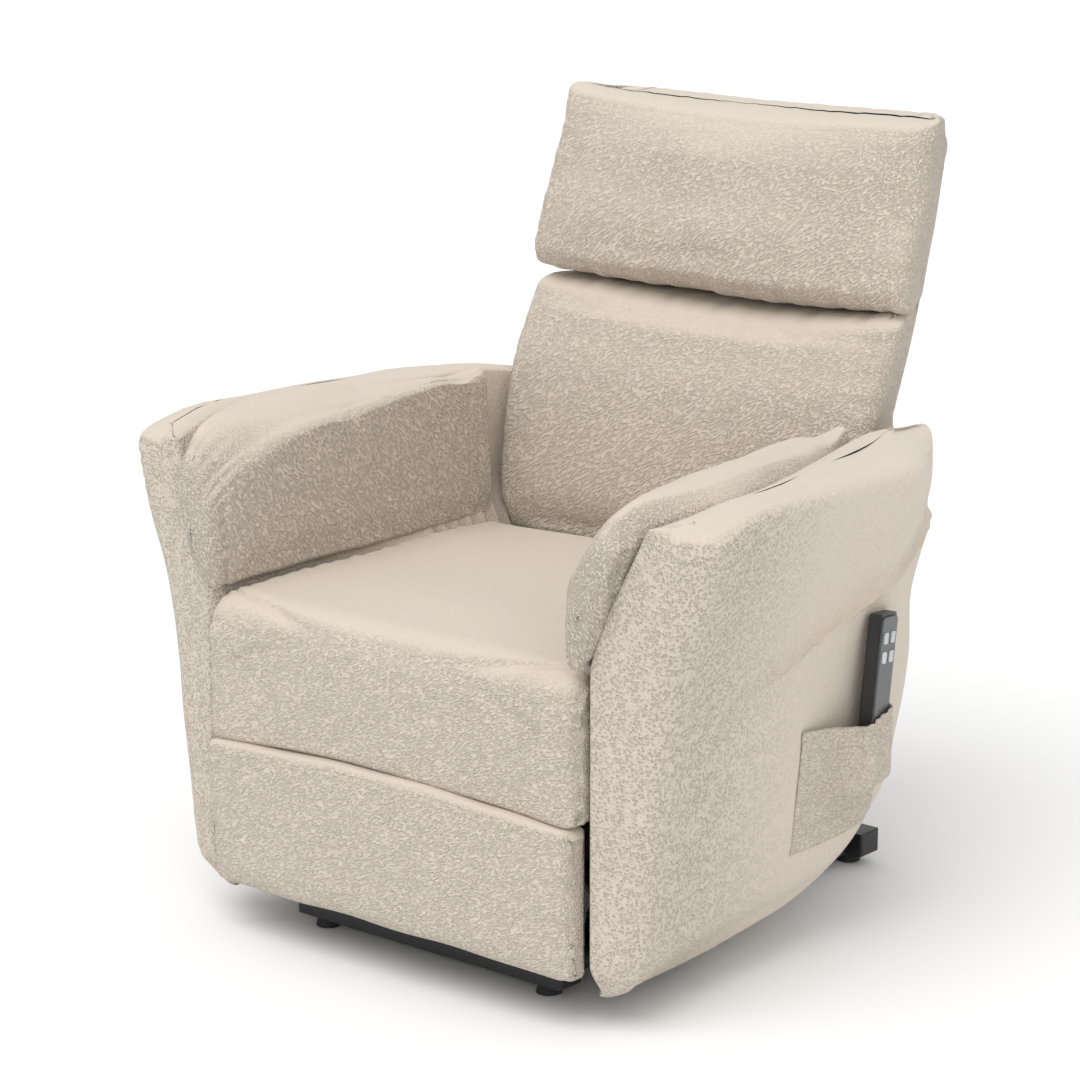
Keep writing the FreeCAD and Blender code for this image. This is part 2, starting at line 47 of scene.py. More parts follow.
# ---------------------------------------------------------------- main sizes, in metres
ARM_INNER = 0.303           # inner face of the arm shells
ARM_FRONT = -0.405
ARM_LOW = 0.038
ARM_TOP = 0.6215
SEAM_HEIGHT = 0.447         # the sloping seam on the arms' outer sides, at y = 0
SEAM_SLOPE = 0.29
PAD_INNER = 0.2775          # the arm pads' faces towards the sitter
PAD_BASE = 0.441
SEAT_HALF = 0.296
SEAT_HALF_BEHIND = 0.289    # half-width of the seat between the arms
SEAT_FRONT = -0.440
SEAT_REAR = 0.104
SEAT_LOW = 0.247
SEAT_TOP = 0.437
LEG_HALF = 0.2925
LEG_FRONT = -0.4405
LEG_REAR = -0.4160
LEG_LOW = 0.061
LEG_TOP = 0.248
BACK_BOTTOM = 0.424
CREASE = 0.768              # height of the fold between the two back cushions
BACK_TOP = 1.008
BACK_LEAN = math.tan(math.radians(18.2))
REAR_COVER_LOW = 0.432
REAR_COVER_TOP = 0.986
REAR_COVER_HALF = 0.212
REAR_LIMIT = 0.450          # nothing reaches further back than this
REAR_PANEL_HALF = 0.225
REAR_PANEL_FRONT = 0.238
REAR_PANEL_REAR = 0.2465
REAR_PANEL_LOW = 0.154
REAR_PANEL_TOP = 0.297


def rear_half(z):
    """Half-width of the backrest at the front of its boards."""
    z = np.asarray(z, float)
    return 0.244 + 0.008 * smooth(0.56, 0.74, z) * smooth(0.98, 0.84, z) - 0.010 * smooth(0.93, 1.0, z)


def frame_y(z):
    """Front of the boards inside the backrest, at one height."""
    return 0.205 + BACK_LEAN * (z - 0.408)


# ---------------------------------------------------------------- number helpers
def smooth(a, b, x):
    """An eased step from 0 at a to 1 at b."""
    t = np.clip((np.asarray(x, float) - a) / (b - a), 0, 1)
    return t * t * (3 - 2 * t)


def spline(x, xs, ys):
    """A smooth curve through (xs, ys), straight past its ends."""
    xs = np.asarray(xs, float)
    ys = np.asarray(ys, float)
    slope = np.gradient(ys, xs)
    x = np.asarray(x, float)
    i = np.clip(np.searchsorted(xs, x) - 1, 0, len(xs) - 2)
    h = xs[i + 1] - xs[i]
    t = np.clip((x - xs[i]) / h, 0, 1)
    return ((2 * t**3 - 3 * t**2 + 1) * ys[i] + (t**3 - 2 * t**2 + t) * h * slope[i]
            + (3 * t**2 - 2 * t**3) * ys[i + 1] + (t**3 - t**2) * h * slope[i + 1])


def rounded_loop(corners, edge_counts, arc_count=8):
    """A closed outline with a round corner of its own radius at each (a, b, radius)."""
    points = np.array([c[:2] for c in corners], float)
    radii = [c[2] for c in corners]
    total = len(points)
    arcs = []
    for i in range(total):
        here = points[i]
        back = points[i - 1] - here
        ahead = points[(i + 1) % total] - here
        back_len = np.linalg.norm(back)
        ahead_len = np.linalg.norm(ahead)
        back = back / back_len
        ahead = ahead / ahead_len
        half = 0.5 * math.acos(float(np.clip(back @ ahead, -0.9999, 0.9999)))
        reach = min(radii[i] / math.tan(half), 0.46 * back_len, 0.46 * ahead_len)
        radius = reach * math.tan(half)
        middle = back + ahead
        middle = middle / np.linalg.norm(middle)
        centre = here + middle * radius / math.sin(half)
        a = here + back * reach - centre
        b = here + ahead * reach - centre
        turn = math.atan2(a[0] * b[1] - a[1] * b[0], float(a @ b))
        angles = np.linspace(0, turn, arc_count)
        cos, sin = np.cos(angles), np.sin(angles)
        arcs.append(np.stack([centre[0] + a[0] * cos - a[1] * sin,
                              centre[1] + a[0] * sin + a[1] * cos], 1))
    out = []
    for i in range(total):
        out.append(arcs[i])
        first = arcs[i][-1]
        last = arcs[(i + 1) % total][0]
        steps = np.linspace(0, 1, edge_counts[i] + 2)[1:-1, None]
        out.append(first + (last - first) * steps)
    return np.concatenate(out)


def inward(loop, amount):
    """The outline drawn in by an amount along its own normals."""
    ahead = np.roll(loop, -1, 0) - np.roll(loop, 1, 0)
    ahead /= np.maximum(np.linalg.norm(ahead, axis=1, keepdims=True), 1e-9)
    normal = np.stack([-ahead[:, 1], ahead[:, 0]], 1)
    middle = loop.mean(0)
    if ((middle - loop) * normal).sum() < 0:
        normal = -normal
    return loop + normal * np.asarray(amount)[..., None]


def quarter(distance, radius):
    """How far a rounded edge draws in at a distance from the edge."""
    near = np.clip(1 - distance / radius, 0, 1)
    return radius * (1 - np.sqrt(1 - near**2))


def grid_normals(grid):
    """Outward unit normals of rings of points that close round one way."""
    around = np.roll(grid, -1, 1) - np.roll(grid, 1, 1)
    along = np.gradient(grid, axis=0)
    normal = np.cross(around, along)
    length = np.linalg.norm(normal, axis=2, keepdims=True)
    normal = normal / np.maximum(length, 1e-12)
    outward = grid - grid.mean((0, 1))
    return normal if (normal * outward).sum() > 0 else -normal


def closing_rings(ring, outward, depth, steps=9, power=2.4):
    """Rings that carry on from an end ring and close it into a soft rounded end."""
    centre = ring.mean(0)
    rings = []
    for s in np.linspace(0, 1, steps + 1)[1:]:
        size = max(1 - s**power, 0.0) ** (1 / power)
        rings.append(centre + (ring - centre) * size + np.array(outward) * depth * s)
    return rings


def folded_rings(ring, rise, inset=0.022):
    """Rings that carry on from a level ring and close it along its long middle line."""
    x = ring[:, 0]
    half = np.abs(x).max() - inset
    middle_y = (ring[:, 1].min() + ring[:, 1].max()) / 2
    mate = np.stack([np.clip(x, -half, half), np.full(len(x), middle_y), ring[:, 2]], 1)
    return [ring + (mate - ring) * t + [0, 0, rise * (1 - (1 - t) ** 2)]
            for t in (0.06, 0.16, 0.32, 0.55, 0.8, 1.0)]


def folded_tube(rings, low_rise, high_rise):
    """Level rings with both ends of the stack folded shut."""
    low = folded_rings(rings[0], low_rise)[::-1]
    return np.array(low + list(rings) + folded_rings(rings[-1], high_rise))


def soft_ends(rings, radius):
    """Level rings drawn in towards both ends of the stack, so that its edges are round."""
    low, high = rings[0][0, 2], rings[-1][0, 2]
    out = []
    for ring in rings:
        z = ring[0, 2]
        amount = float(quarter(z - low, radius) + quarter(high - z, radius))
        plan = inward(ring[:, :2], np.full(len(ring), amount))
        out.append(np.column_stack([plan, ring[:, 2]]))
    return out


def closed_tube(rings, start_dir, end_dir, start_depth, end_depth, steps=9, power=2.4):
    """Rings with a soft rounded end at both ends of the stack."""
    first = closing_rings(rings[0], start_dir, start_depth, steps, power)[::-1]
    last = closing_rings(rings[-1], end_dir, end_depth, steps, power)
    return np.array(first + list(rings) + last)


def spread(coarse, rows, columns, row_at, column_at):
    """Linear upsampling of a grid of vectors that closes round in its columns."""
    wrapped = np.concatenate([coarse, coarse[:, :1]], 1)
    column_at = np.append(column_at, columns)
    wide = np.stack([[np.interp(np.arange(columns), column_at, wrapped[i, :, k])
                      for i in range(len(row_at))] for k in range(3)], 2)
    tall = np.stack([[np.interp(np.arange(rows), row_at, wide[:, j, k])
                      for j in range(columns)] for k in range(3)], 2)
    return tall.transpose(1, 0, 2)


def relaxed(field, rounds):
    """A field of vectors evened out with its neighbours."""
    for _ in range(rounds):
        field = (field * 2 + np.roll(field, 1, 1) + np.roll(field, -1, 1)) / 4
        padded = np.concatenate([field[:1], field, field[-1:]])
        field = (padded[1:-1] * 2 + padded[:-2] + padded[2:]) / 4
    return field


# ---------------------------------------------------------------- meshes
def add_mesh(name, points, faces):
    mesh = bpy.data.meshes.new(name)
    mesh.from_pydata([tuple(p) for p in points], [], faces)
    mesh.validate()
    mesh.update()
    shade_smooth(mesh)
    piece = bpy.data.objects.new(name, mesh)
    bpy.context.scene.collection.objects.link(piece)
    return piece


def shade_smooth(mesh):
    mesh.polygons.foreach_set("use_smooth", [True] * len(mesh.polygons))


def outward_faces(mesh, merge):
    """Turns every face of a closed mesh to look outwards, after joining points that coincide."""
    work = bmesh.new()
    work.from_mesh(mesh)
    if merge:
        bmesh.ops.remove_doubles(work, verts=work.verts, dist=1e-6)
    bmesh.ops.recalc_face_normals(work, faces=work.faces)
    work.to_mesh(mesh)
    work.free()
    shade_smooth(mesh)


def grid_faces(rows, columns):
    """Quads between rings of points that close round."""
    faces = []
    for i in range(rows - 1):
        a = i * columns
        for j in range(columns):
            k = (j + 1) % columns
            faces.append((a + j, a + k, a + columns + k, a + columns + j))
    return faces


def tube_piece(name, grid):
    """A closed piece from rings of points; the first and last rings shrink to one point."""
    rows, columns = grid.shape[:2]
    piece = add_mesh(name, grid.reshape(-1, 3), grid_faces(rows, columns))
    outward_faces(piece.data, merge=True)
    return piece


COVER_CLOTH = {
    "quality": 5,
    "mass": 0.4,
    "tension_stiffness": 25,
    "compression_stiffness": 25,
    "shear_stiffness": 10,
    "bending_stiffness": 2.0,
    "air_damping": 6,
    "use_pressure": True,
}
CLOTH_FRAMES = 20


def swell_mesh(inner, first_end, last_end):
    """Points and faces of a coarse grid whose ends are each closed onto one point."""
    rows, columns = inner.shape[:2]
    points = np.concatenate([inner.reshape(-1, 3), [first_end], [last_end]])
    faces = grid_faces(rows, columns)
    first, last = len(points) - 2, len(points) - 1
    tail = (rows - 1) * columns
    for j in range(columns):
        k = (j + 1) % columns
        faces.append((first, k, j))
        faces.append((last, tail + j, tail + k))
    return points, faces


def cloth_swell(grid, step_rows, step_columns, pressure=4.0, cap=0.010, spare=0.012):
    """Inflates a coarse copy of the grid as cloth and returns how far each point moved."""
    rows, columns = grid.shape[:2]
    row_at = np.unique(np.append(np.arange(0, rows, step_rows), rows - 1))
    column_at = np.arange(0, columns, step_columns)
    coarse = grid[np.ix_(row_at, column_at)]
    points, faces = swell_mesh(coarse[1:-1], grid[0].mean(0), grid[-1].mean(0))
    piece = add_mesh("swell", points, faces)
    outward_faces(piece.data, merge=False)
    cloth = piece.modifiers.new("cloth", "CLOTH")
    for key, value in COVER_CLOTH.items():
        setattr(cloth.settings, key, value)
    cloth.settings.shrink_min = -spare
    cloth.settings.uniform_pressure_force = pressure
    cloth.settings.effector_weights.gravity = 0
    cloth.collision_settings.use_self_collision = False
    scene = bpy.context.scene
    for number in range(1, CLOTH_FRAMES + 1):
        scene.frame_set(number)
    evaluated = piece.evaluated_get(bpy.context.evaluated_depsgraph_get())
    after = np.array([v.co for v in evaluated.data.vertices], float)
    scene.frame_set(1)
    bpy.data.objects.remove(piece)
    moved = after - points
    moved -= moved.mean(0)
    length = np.linalg.norm(moved, axis=1, keepdims=True)
    moved = moved * np.minimum(1, cap / np.maximum(length, 1e-9))
    full = np.zeros_like(coarse)
    full[1:-1] = moved[:-2].reshape(full[1:-1].shape)
    full[0] = moved[-2]
    full[-1] = moved[-1]
    return relaxed(spread(full, rows, columns, row_at, column_at), 6)


def pushed(grid, amount):
    """The grid with each point moved along its own normal."""
    return grid + grid_normals(grid) * amount[..., None]


def ripple(grid, seed, size, strength):
    """A slow unevenness of the stuffing, the same on every run."""
    rng = np.random.default_rng(seed)
    total = np.zeros(grid.shape[:2])
    for _ in range(10):
        direction = rng.normal(size=3)
        direction /= np.linalg.norm(direction)
        phase = rng.uniform(0, 2 * math.pi)
        total += np.sin(grid @ direction * (2 * math.pi / (size * rng.uniform(0.6, 1.5))) + phase)
    return total / 10 * strength


def puckers(along, away, pitch, depth, reach, seed):
    """Short gathers that run away from a seam and die out."""
    rng = np.random.default_rng(seed)
    phase = rng.uniform(0, 2 * math.pi, 3)
    wave = (np.sin(along * 2 * math.pi / pitch + phase[0])
            + 0.6 * np.sin(along * 2 * math.pi / (pitch * 1.7) + phase[1])
            + 0.5 * np.sin(along * 2 * math.pi / (pitch * 0.62) + phase[2])) / 2.1
    return wave * depth * np.exp(-(away / reach) ** 2)


def groove(away, depth, width):
    """The inward push of a seam, at a distance away from it."""
    return -depth * np.exp(-(away / width) ** 2)


# ---------------------------------------------------------------- materials
def new_material(name):
    """A new material with its node tree and its shader node."""
    material = bpy.data.materials.new(name)
    material.use_nodes = True
    tree = material.node_tree
    shader = tree.nodes["Principled BSDF"]
    return material, tree, shader


def node(tree, kind, **values):
    """A new node with its settings and the values of its inputs, "_" standing for a space."""
    made = tree.nodes.new(kind)
    for key, value in values.items():
        if hasattr(made, key):
            setattr(made, key, value)
        else:
            made.inputs[key.replace("_", " ")].default_value = value
    return made


def fed(tree, kind, source, socket="Vector", **values):
    """A new node with one of its inputs linked."""
    made = node(tree, kind, **values)
    tree.links.new(source, made.inputs[socket])
    return made


def ramp(tree, source, low, high, low_value, high_value):
    """Maps the range low to high onto low_value to high_value, and holds the ends."""
    scaled = fed(tree, "ShaderNodeMapRange", source, "Value", From_Min=low, From_Max=high,
                 To_Min=low_value, To_Max=high_value)
    return scaled.outputs["Result"]


def mixed(tree, factor, a, b):
    """A colour between a and b, each a linked socket or a plain colour."""
    mix = node(tree, "ShaderNodeMix", data_type="RGBA")
    for index, value in ((0, factor), (6, a), (7, b)):
        if isinstance(value, tuple):
            mix.inputs[index].default_value = (*value, 1)
        else:
            tree.links.new(value, mix.inputs[index])
    return mix.outputs[2]


def product(tree, a, b):
    times = fed(tree, "ShaderNodeMath", a, 0, operation="MULTIPLY")
    tree.links.new(b, times.inputs[1])
    return times.outputs[0]


def summed(tree, a, b, factor):
    """a plus b times a factor."""
    add = fed(tree, "ShaderNodeMath", b, 0, operation="MULTIPLY_ADD")
    add.inputs[1].default_value = factor
    tree.links.new(a, add.inputs[2])
    return add.outputs[0]


def coloured(tree, shader, colour, roughness):
    tree.links.new(colour, shader.inputs["Base Color"])
    tree.links.new(roughness, shader.inputs["Roughness"])


def bumped(tree, shader, height, strength, distance):
    bump = fed(tree, "ShaderNodeBump", height, "Height", Strength=strength, Distance=distance)
    tree.links.new(bump.outputs["Normal"], shader.inputs["Normal"])


def darker(colour, shares):
    return tuple(c * share for c, share in zip(colour, shares))


FABRIC = (0.650, 0.573, 0.482)
# painted shade: the darker colour laid into the hollows of the fabric's folds and pits
FABRIC_PAINTED_SHADE = darker(FABRIC, (0.50, 0.46, 0.40))
FABRIC_WORN = darker(FABRIC, (0.80, 0.77, 0.73))
FOLD_PITCH = 2.6 * MM
FOLD_DEPTH = 2.3 * MM
WANDER = 0.010              # how far the folds stray from a straight run


def fold_pattern(tree, bent, turn, stretch, dimples):
    """Long fine folds along the local X of a turned frame, mixed with small pits."""
    turned = fed(tree, "ShaderNodeMapping", bent, vector_type="TEXTURE",
                 Rotation=[math.radians(angle) for angle in turn])
    long_way = fed(tree, "ShaderNodeMapping", turned.outputs["Vector"], Scale=(stretch, 1.0, 1.0))
    worm = fed(tree, "ShaderNodeTexNoise", long_way.outputs["Vector"], Scale=1.155 / FOLD_PITCH, Detail=1.2,
               Roughness=0.45, Distortion=0.5)
    pits = fed(tree, "ShaderNodeTexVoronoi", bent, Scale=0.66 / FOLD_PITCH, Randomness=0.75)
    pattern = node(tree, "ShaderNodeMix")
    pattern.inputs[0].default_value = dimples
    tree.links.new(ramp(tree, worm.outputs["Fac"], 0.36, 0.60, 0.0, 1.0), pattern.inputs[2])
    tree.links.new(ramp(tree, pits.outputs["Distance"], 0.22, 0.56, 0.0, 1.0), pattern.inputs[3])
    return pattern.outputs[0]


def upholstery(name, turn, stretch, relief=1.0, dimples=0.0, fade=None):
    """Crinkled woven fabric with painted shade darkening its colour in the hollows of its folds; its folds
    die out where it faces up, and along Y if told to fade.
    """
    material, tree, shader = new_material(name)
    coordinates = node(tree, "ShaderNodeTexCoord")
    place = coordinates.outputs["Object"]
    wander = fed(tree, "ShaderNodeTexNoise", place, Scale=17.0, Detail=2.0)
    stray = fed(tree, "ShaderNodeVectorMath", wander.outputs["Color"], 0, operation="MULTIPLY_ADD")
    stray.inputs[1].default_value = (WANDER, WANDER, WANDER)
    tree.links.new(place, stray.inputs[2])
    bent = stray.outputs["Vector"]
    pattern = fold_pattern(tree, bent, turn, stretch, dimples)
    upward = fed(tree, "ShaderNodeSeparateXYZ", coordinates.outputs["Normal"])
    presence = ramp(tree, upward.outputs["Z"], 0.35, 0.85, 1.0, 0.10)
    if fade:
        strong_y, faint_y, least = fade
        where = fed(tree, "ShaderNodeSeparateXYZ", bent)
        presence = product(tree, presence, ramp(tree, where.outputs["Y"], strong_y, faint_y, 1.0, least))
    yarn = fed(tree, "ShaderNodeTexNoise", place, Scale=850.0, Detail=3.0, Roughness=0.6).outputs["Fac"]
    bumped(tree, shader, summed(tree, product(tree, pattern, presence), yarn, 0.16), relief, FOLD_DEPTH)
    # painted shade: the colour darkens in the hollows of the folds and pits, and less so where the cloth
    # faces up
    shade = product(tree, ramp(tree, pattern, 0.0, 0.7, 0.52, 0.0), presence)
    base = mixed(tree, shade, FABRIC, FABRIC_PAINTED_SHADE)
    tone = ramp(tree, yarn, 0.30, 0.70, 0.22, 0.0)
    coloured(tree, shader, mixed(tree, tone, base, FABRIC_WORN), ramp(tree, yarn, 0.3, 0.7, 0.86, 0.98))
    shader.inputs["Sheen Weight"].default_value = 0.20
    shader.inputs["Sheen Roughness"].default_value = 0.6
    shader.inputs["Specular IOR Level"].default_value = 0.2
    return material


def hard_material(name, colour, roughness, grain, relief, metallic=0.0):
    """Moulded plastic, powder coat, plated steel or rubber with its fine surface grain."""
    material, tree, shader = new_material(name)
    place = node(tree, "ShaderNodeTexCoord").outputs["Object"]
    fine = fed(tree, "ShaderNodeTexNoise", place, Scale=grain, Detail=3.0)
    slow = fed(tree, "ShaderNodeTexNoise", place, Scale=14.0, Detail=4.0).outputs["Fac"]
    bumped(tree, shader, fine.outputs["Fac"], 0.35, relief * MM)
    rubbed = tuple(min(1.0, c * 1.35 + 0.004) for c in colour)
    coloured(tree, shader, mixed(tree, ramp(tree, slow, 0.45, 0.75, 0.0, 1.0), colour, rubbed),
             ramp(tree, slow, 0.3, 0.7, roughness - 0.07, roughness + 0.08))
    shader.inputs["Metallic"].default_value = metallic
    return material


def plywood():
    material, tree, shader = new_material("plywood")
    place = node(tree, "ShaderNodeTexCoord").outputs["Object"]
    drawn_out = fed(tree, "ShaderNodeMapping", place, Scale=(60.0, 4.0, 60.0))
    grain = fed(tree, "ShaderNodeTexNoise", drawn_out.outputs["Vector"], Scale=2.0, Detail=5.0,
                Distortion=0.6).outputs["Fac"]
    bumped(tree, shader, grain, 0.4, 0.3 * MM)
    colour = mixed(tree, ramp(tree, grain, 0.35, 0.7, 0.0, 1.0), (0.60, 0.44, 0.27), (0.42, 0.28, 0.15))
    coloured(tree, shader, colour, ramp(tree, grain, 0.3, 0.7, 0.55, 0.75))
    return material


def woven_strap():
    material, tree, shader = new_material("elastic_webbing")
    place = node(tree, "ShaderNodeTexCoord").outputs["Object"]
    ribs = fed(tree, "ShaderNodeTexWave", place, Scale=180.0, Distortion=0.6).outputs["Fac"]
    bumped(tree, shader, ribs, 0.6, 0.4 * MM)
    colour = mixed(tree, ribs, (0.05, 0.045, 0.04), (0.16, 0.14, 0.12))
    coloured(tree, shader, colour, ramp(tree, ribs, 0.0, 1.0, 0.8, 0.95))
    return material


def finish(piece, body, material):
    """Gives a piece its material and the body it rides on."""
    piece.data.materials.clear()
    piece.data.materials.append(material)
    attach(piece, body)
    return piece


back_cloth = upholstery("cloth_back", (0, -38, 0), stretch=0.32, relief=0.9)
side_cloth = upholstery("cloth_side", (0, 40, 90), stretch=0.55, dimples=0.7, fade=(-0.30, -0.10, 0.25))
pouch_cloth = upholstery("cloth_pocket", (35, 0, 90), stretch=0.45, dimples=0.3)
front_cloth = upholstery("cloth_front", (0, -26, 0), stretch=0.38, dimples=0.2)
pad_cloth = upholstery("cloth_pad", (0, 46, 90), stretch=0.34)

slot_materials = {
    "upholstery": side_cloth,
    "cushion_fabric": front_cloth,
    "black_steel": hard_material("powder_coat", (0.012, 0.012, 0.013), 0.38, 700.0, 0.08),
    "bare_steel": hard_material("zinc_steel", (0.55, 0.55, 0.56), 0.32, 900.0, 0.03, 1.0),
    "foot_rubber": hard_material("rubber", (0.015, 0.015, 0.015), 0.75, 500.0, 0.1),
    "black_plastic": hard_material("black_plastic", (0.014, 0.014, 0.015), 0.42, 1400.0, 0.12),
    "grey_plastic": hard_material("grey_plastic", (0.075, 0.077, 0.08), 0.36, 1400.0, 0.08),
    "key_plastic": hard_material("key_plastic", (0.50, 0.51, 0.52), 0.45, 1400.0, 0.05),
    "frame_wood": plywood(),
    "webbing": woven_strap(),
}
for entry in frame["record"]["subparts"]:
    cad_piece = frame["nodes"][entry["node"]]
    cad_piece.data.materials.clear()
    cad_piece.data.materials.append(slot_materials[entry["material_slot"]])


# ---------------------------------------------------------------- arms
ARM_HEIGHTS = [0.038, 0.056, 0.095, 0.150, 0.243, 0.330, 0.430, 0.468, 0.500, 0.560, 0.600, 0.624]
ARM_FRONT_HALF = [0.324, 0.350, 0.366, 0.375, 0.386, 0.394, 0.413, 0.426, 0.439, 0.457, 0.465, 0.466]
ARM_SIDE_HALF = [0.314, 0.325, 0.352, 0.366, 0.374, 0.380, 0.383, 0.390, 0.402, 0.431, 0.448, 0.453]
ARM_REACH_INNER = [-0.215, -0.085, 0.060, 0.140, 0.190, 0.210, 0.214, 0.226, 0.240, 0.256, 0.254, 0.250]
ARM_REACH_OUTER = [-0.300, -0.260, -0.070, 0.055, 0.119, 0.148, 0.150, 0.160, 0.172, 0.190, 0.186, 0.180]
ARM_SLANT = [0.070, 0.070, 0.070, 0.070, 0.070, 0.074, 0.080, 0.090, 0.104, 0.124, 0.132, 0.134]
ARM_EDGES = [14, 6, 44, 16, 16, 6, 26, 20]
ARM_ARC = 10
ARM_RINGS = 190
WEDGE_Y = [-0.430, -0.385, -0.330, -0.275, -0.173, -0.049, 0.088, 0.200]
WEDGE_TOP = [0.368, 0.384, 0.401, 0.407, 0.391, 0.360, 0.323, 0.303]
WEDGE_LOW = 0.437
WEDGE_RISE = 0.185


def seam_z(y):
    """Height of the sloping seam under the flared part of the arm."""
    return SEAM_HEIGHT + SEAM_SLOPE * y


def wedge_x(y, z):
    """Inner edge of the arm where its pad lies against it."""
    top = np.maximum(spline(y, WEDGE_Y, WEDGE_TOP) - ARM_INNER, 0.0)
    return ARM_INNER + top * np.clip((z - WEDGE_LOW) / WEDGE_RISE, 0, 1) ** 1.35


def arm_loop(z):
    """Outline of one arm at one height, from its inner front corner."""
    front_half = float(spline(z, ARM_HEIGHTS, ARM_FRONT_HALF))
    side_half = float(spline(z, ARM_HEIGHTS, ARM_SIDE_HALF))
    reach_inner = float(spline(z, ARM_HEIGHTS, ARM_REACH_INNER))
    reach_outer = float(spline(z, ARM_HEIGHTS, ARM_REACH_OUTER))
    slant = float(spline(z, ARM_HEIGHTS, ARM_SLANT))
    high = float(smooth(0.46, 0.60, z))
    front = ARM_FRONT + 0.022 * float(smooth(0.085, 0.038, z))
    side_y = max(reach_outer - slant, front + 0.060)
    shoulder = min(0.360, side_half - 0.004)
    inner_x = min(float(wedge_x(front, z)), front_half - 0.030)
    corners = [
        (inner_x, front - 0.015 * (1 - high), 0.007),
        (front_half, front, 0.038),
        (side_half, min(-0.070, side_y - 0.020), 0.300),
        (side_half - 0.0005, side_y, 0.130),
        (shoulder, max(reach_outer, front + 0.075), 0.100),
        (min(0.325, side_half - 0.004), reach_inner - 0.004, 0.030),
        (ARM_INNER, reach_inner + 0.006, 0.012),
        (ARM_INNER, min(0.165, reach_inner - 0.030), 0.080),
    ]
    return rounded_loop(corners, ARM_EDGES, ARM_ARC)


def ring_heights():
    """Heights of the arm's rings, crowded together beside the seam and at both ends."""
    steps = np.linspace(ARM_LOW, ARM_TOP, 4000)
    fineness = 1 + 3.2 * np.exp(-((steps - SEAM_HEIGHT) / 0.012) ** 2)
    fineness = fineness + 2.2 * np.exp(-((steps - ARM_TOP) / 0.035) ** 2)
    fineness = fineness + 1.5 * np.exp(-((steps - ARM_LOW) / 0.025) ** 2)
    travelled = np.concatenate([[0], np.cumsum(fineness[1:])])
    return np.interp(np.linspace(0, travelled[-1], ARM_RINGS), travelled, steps)


def arm_grid():
    """Rings up one arm that follow its sloping seam, with its edges rounded."""
    table_z = np.linspace(ARM_LOW, ARM_TOP, 100)
    table = np.array([arm_loop(z) for z in table_z])
    columns = table.shape[1]
    inner = np.arange(columns) >= columns - ARM_EDGES[-1] - 2
    heights = ring_heights()
    grid = np.zeros((ARM_RINGS, columns, 3))
    at_seam = table[np.abs(table_z - SEAM_HEIGHT).argmin()]
    room = np.clip((heights - ARM_LOW) / 0.16, 0, 1) * np.clip((ARM_TOP - heights) / 0.11, 0, 1)
    near_seam = np.exp(-((heights - SEAM_HEIGHT) / 0.20) ** 2)
    for j in range(columns):
        z = heights + SEAM_SLOPE * max(at_seam[j, 1], -0.22) * room * near_seam
        grid[:, j, 0] = np.interp(z, table_z, table[:, j, 0])
        grid[:, j, 1] = np.interp(z, table_z, table[:, j, 1])
        grid[:, j, 2] = z
    grid[:, inner, 0] = wedge_x(grid[:, inner, 1], grid[:, inner, 2])
    for _ in range(3):
        plan = grid[..., :2]
        grid[..., :2] = (2 * plan + np.roll(plan, 1, 1) + np.roll(plan, -1, 1)) / 4
    for i in range(ARM_RINGS):
        x, y, z = grid[i, :, 0], grid[i, :, 1], grid[i, :, 2]
        outside = smooth(0.006, 0.036, x - wedge_x(y, z)) * (1 - inner)
        round_top = 0.005 + (0.020 + 0.016 * smooth(-0.25, -0.05, y)) * outside * smooth(0.30, 0.18, y)
        amount = quarter(ARM_TOP - z, round_top) + quarter(z - ARM_LOW, 0.004 + 0.016 * outside)
        grid[i, :, :2] = inward(grid[i, :, :2], amount)
    y, z = grid[..., 1], grid[..., 2]
    crest = 0.014 * smooth(-0.40, -0.28, y) * smooth(0.22, 0.10, y) - 0.004 * smooth(-0.30, -0.42, y)
    grid[..., 2] += crest * smooth(0.42, 0.60, z)
    return grid


def arm_cover_grid():
    """The arm with its seams, gathers and stitched rear edge."""
    grid = arm_grid()
    rows, columns = grid.shape[:2]
    corner = ARM_ARC + ARM_EDGES[0]
    column = np.arange(columns)[None, :] * np.ones((rows, 1))
    x, y, z = grid[..., 0], grid[..., 1], grid[..., 2]
    outside = smooth(0.012, 0.030, x - wedge_x(y, z))
    below = seam_z(y) - z
    present = smooth(-0.225, -0.140, y) * outside
    step = smooth(-0.001, 0.004, below) * smooth(0.120, 0.0, below)
    amount = -0.0062 * step * present + groove(np.abs(below - 0.001), 0.0050, 0.0028) * present
    amount = amount + 0.0026 * np.exp(-((below + 0.012) / 0.011) ** 2) * present
    amount = amount + puckers(y, np.abs(below), 0.036, 0.0010, 0.022, 71) * present
    crease = np.abs(column - (corner + 1.2)) * 0.0034
    high = smooth(0.50, 0.57, z) * smooth(0.625, 0.612, z)
    amount = amount + groove(crease, 0.0022, 0.0034) * high
    amount = amount + puckers(z, crease, 0.016, 0.0016, 0.014, 5) * high
    behind = smooth(0.02, 0.12, y) * outside
    amount = amount + groove(np.abs(z - 0.598), 0.0010, 0.0018) * behind
    amount = amount + groove(np.abs(z - 0.589), 0.0008, 0.0016) * behind
    amount = amount + ripple(grid, 11, 0.18, 0.0042)
    low_front = smooth(-0.33, -0.41, y) * smooth(0.14, 0.05, z)
    amount = amount + puckers(z, np.abs(column - corner - 5) * 0.004, 0.022, 0.0014, 0.030, 6) * low_front
    return pushed(grid, amount * outside)


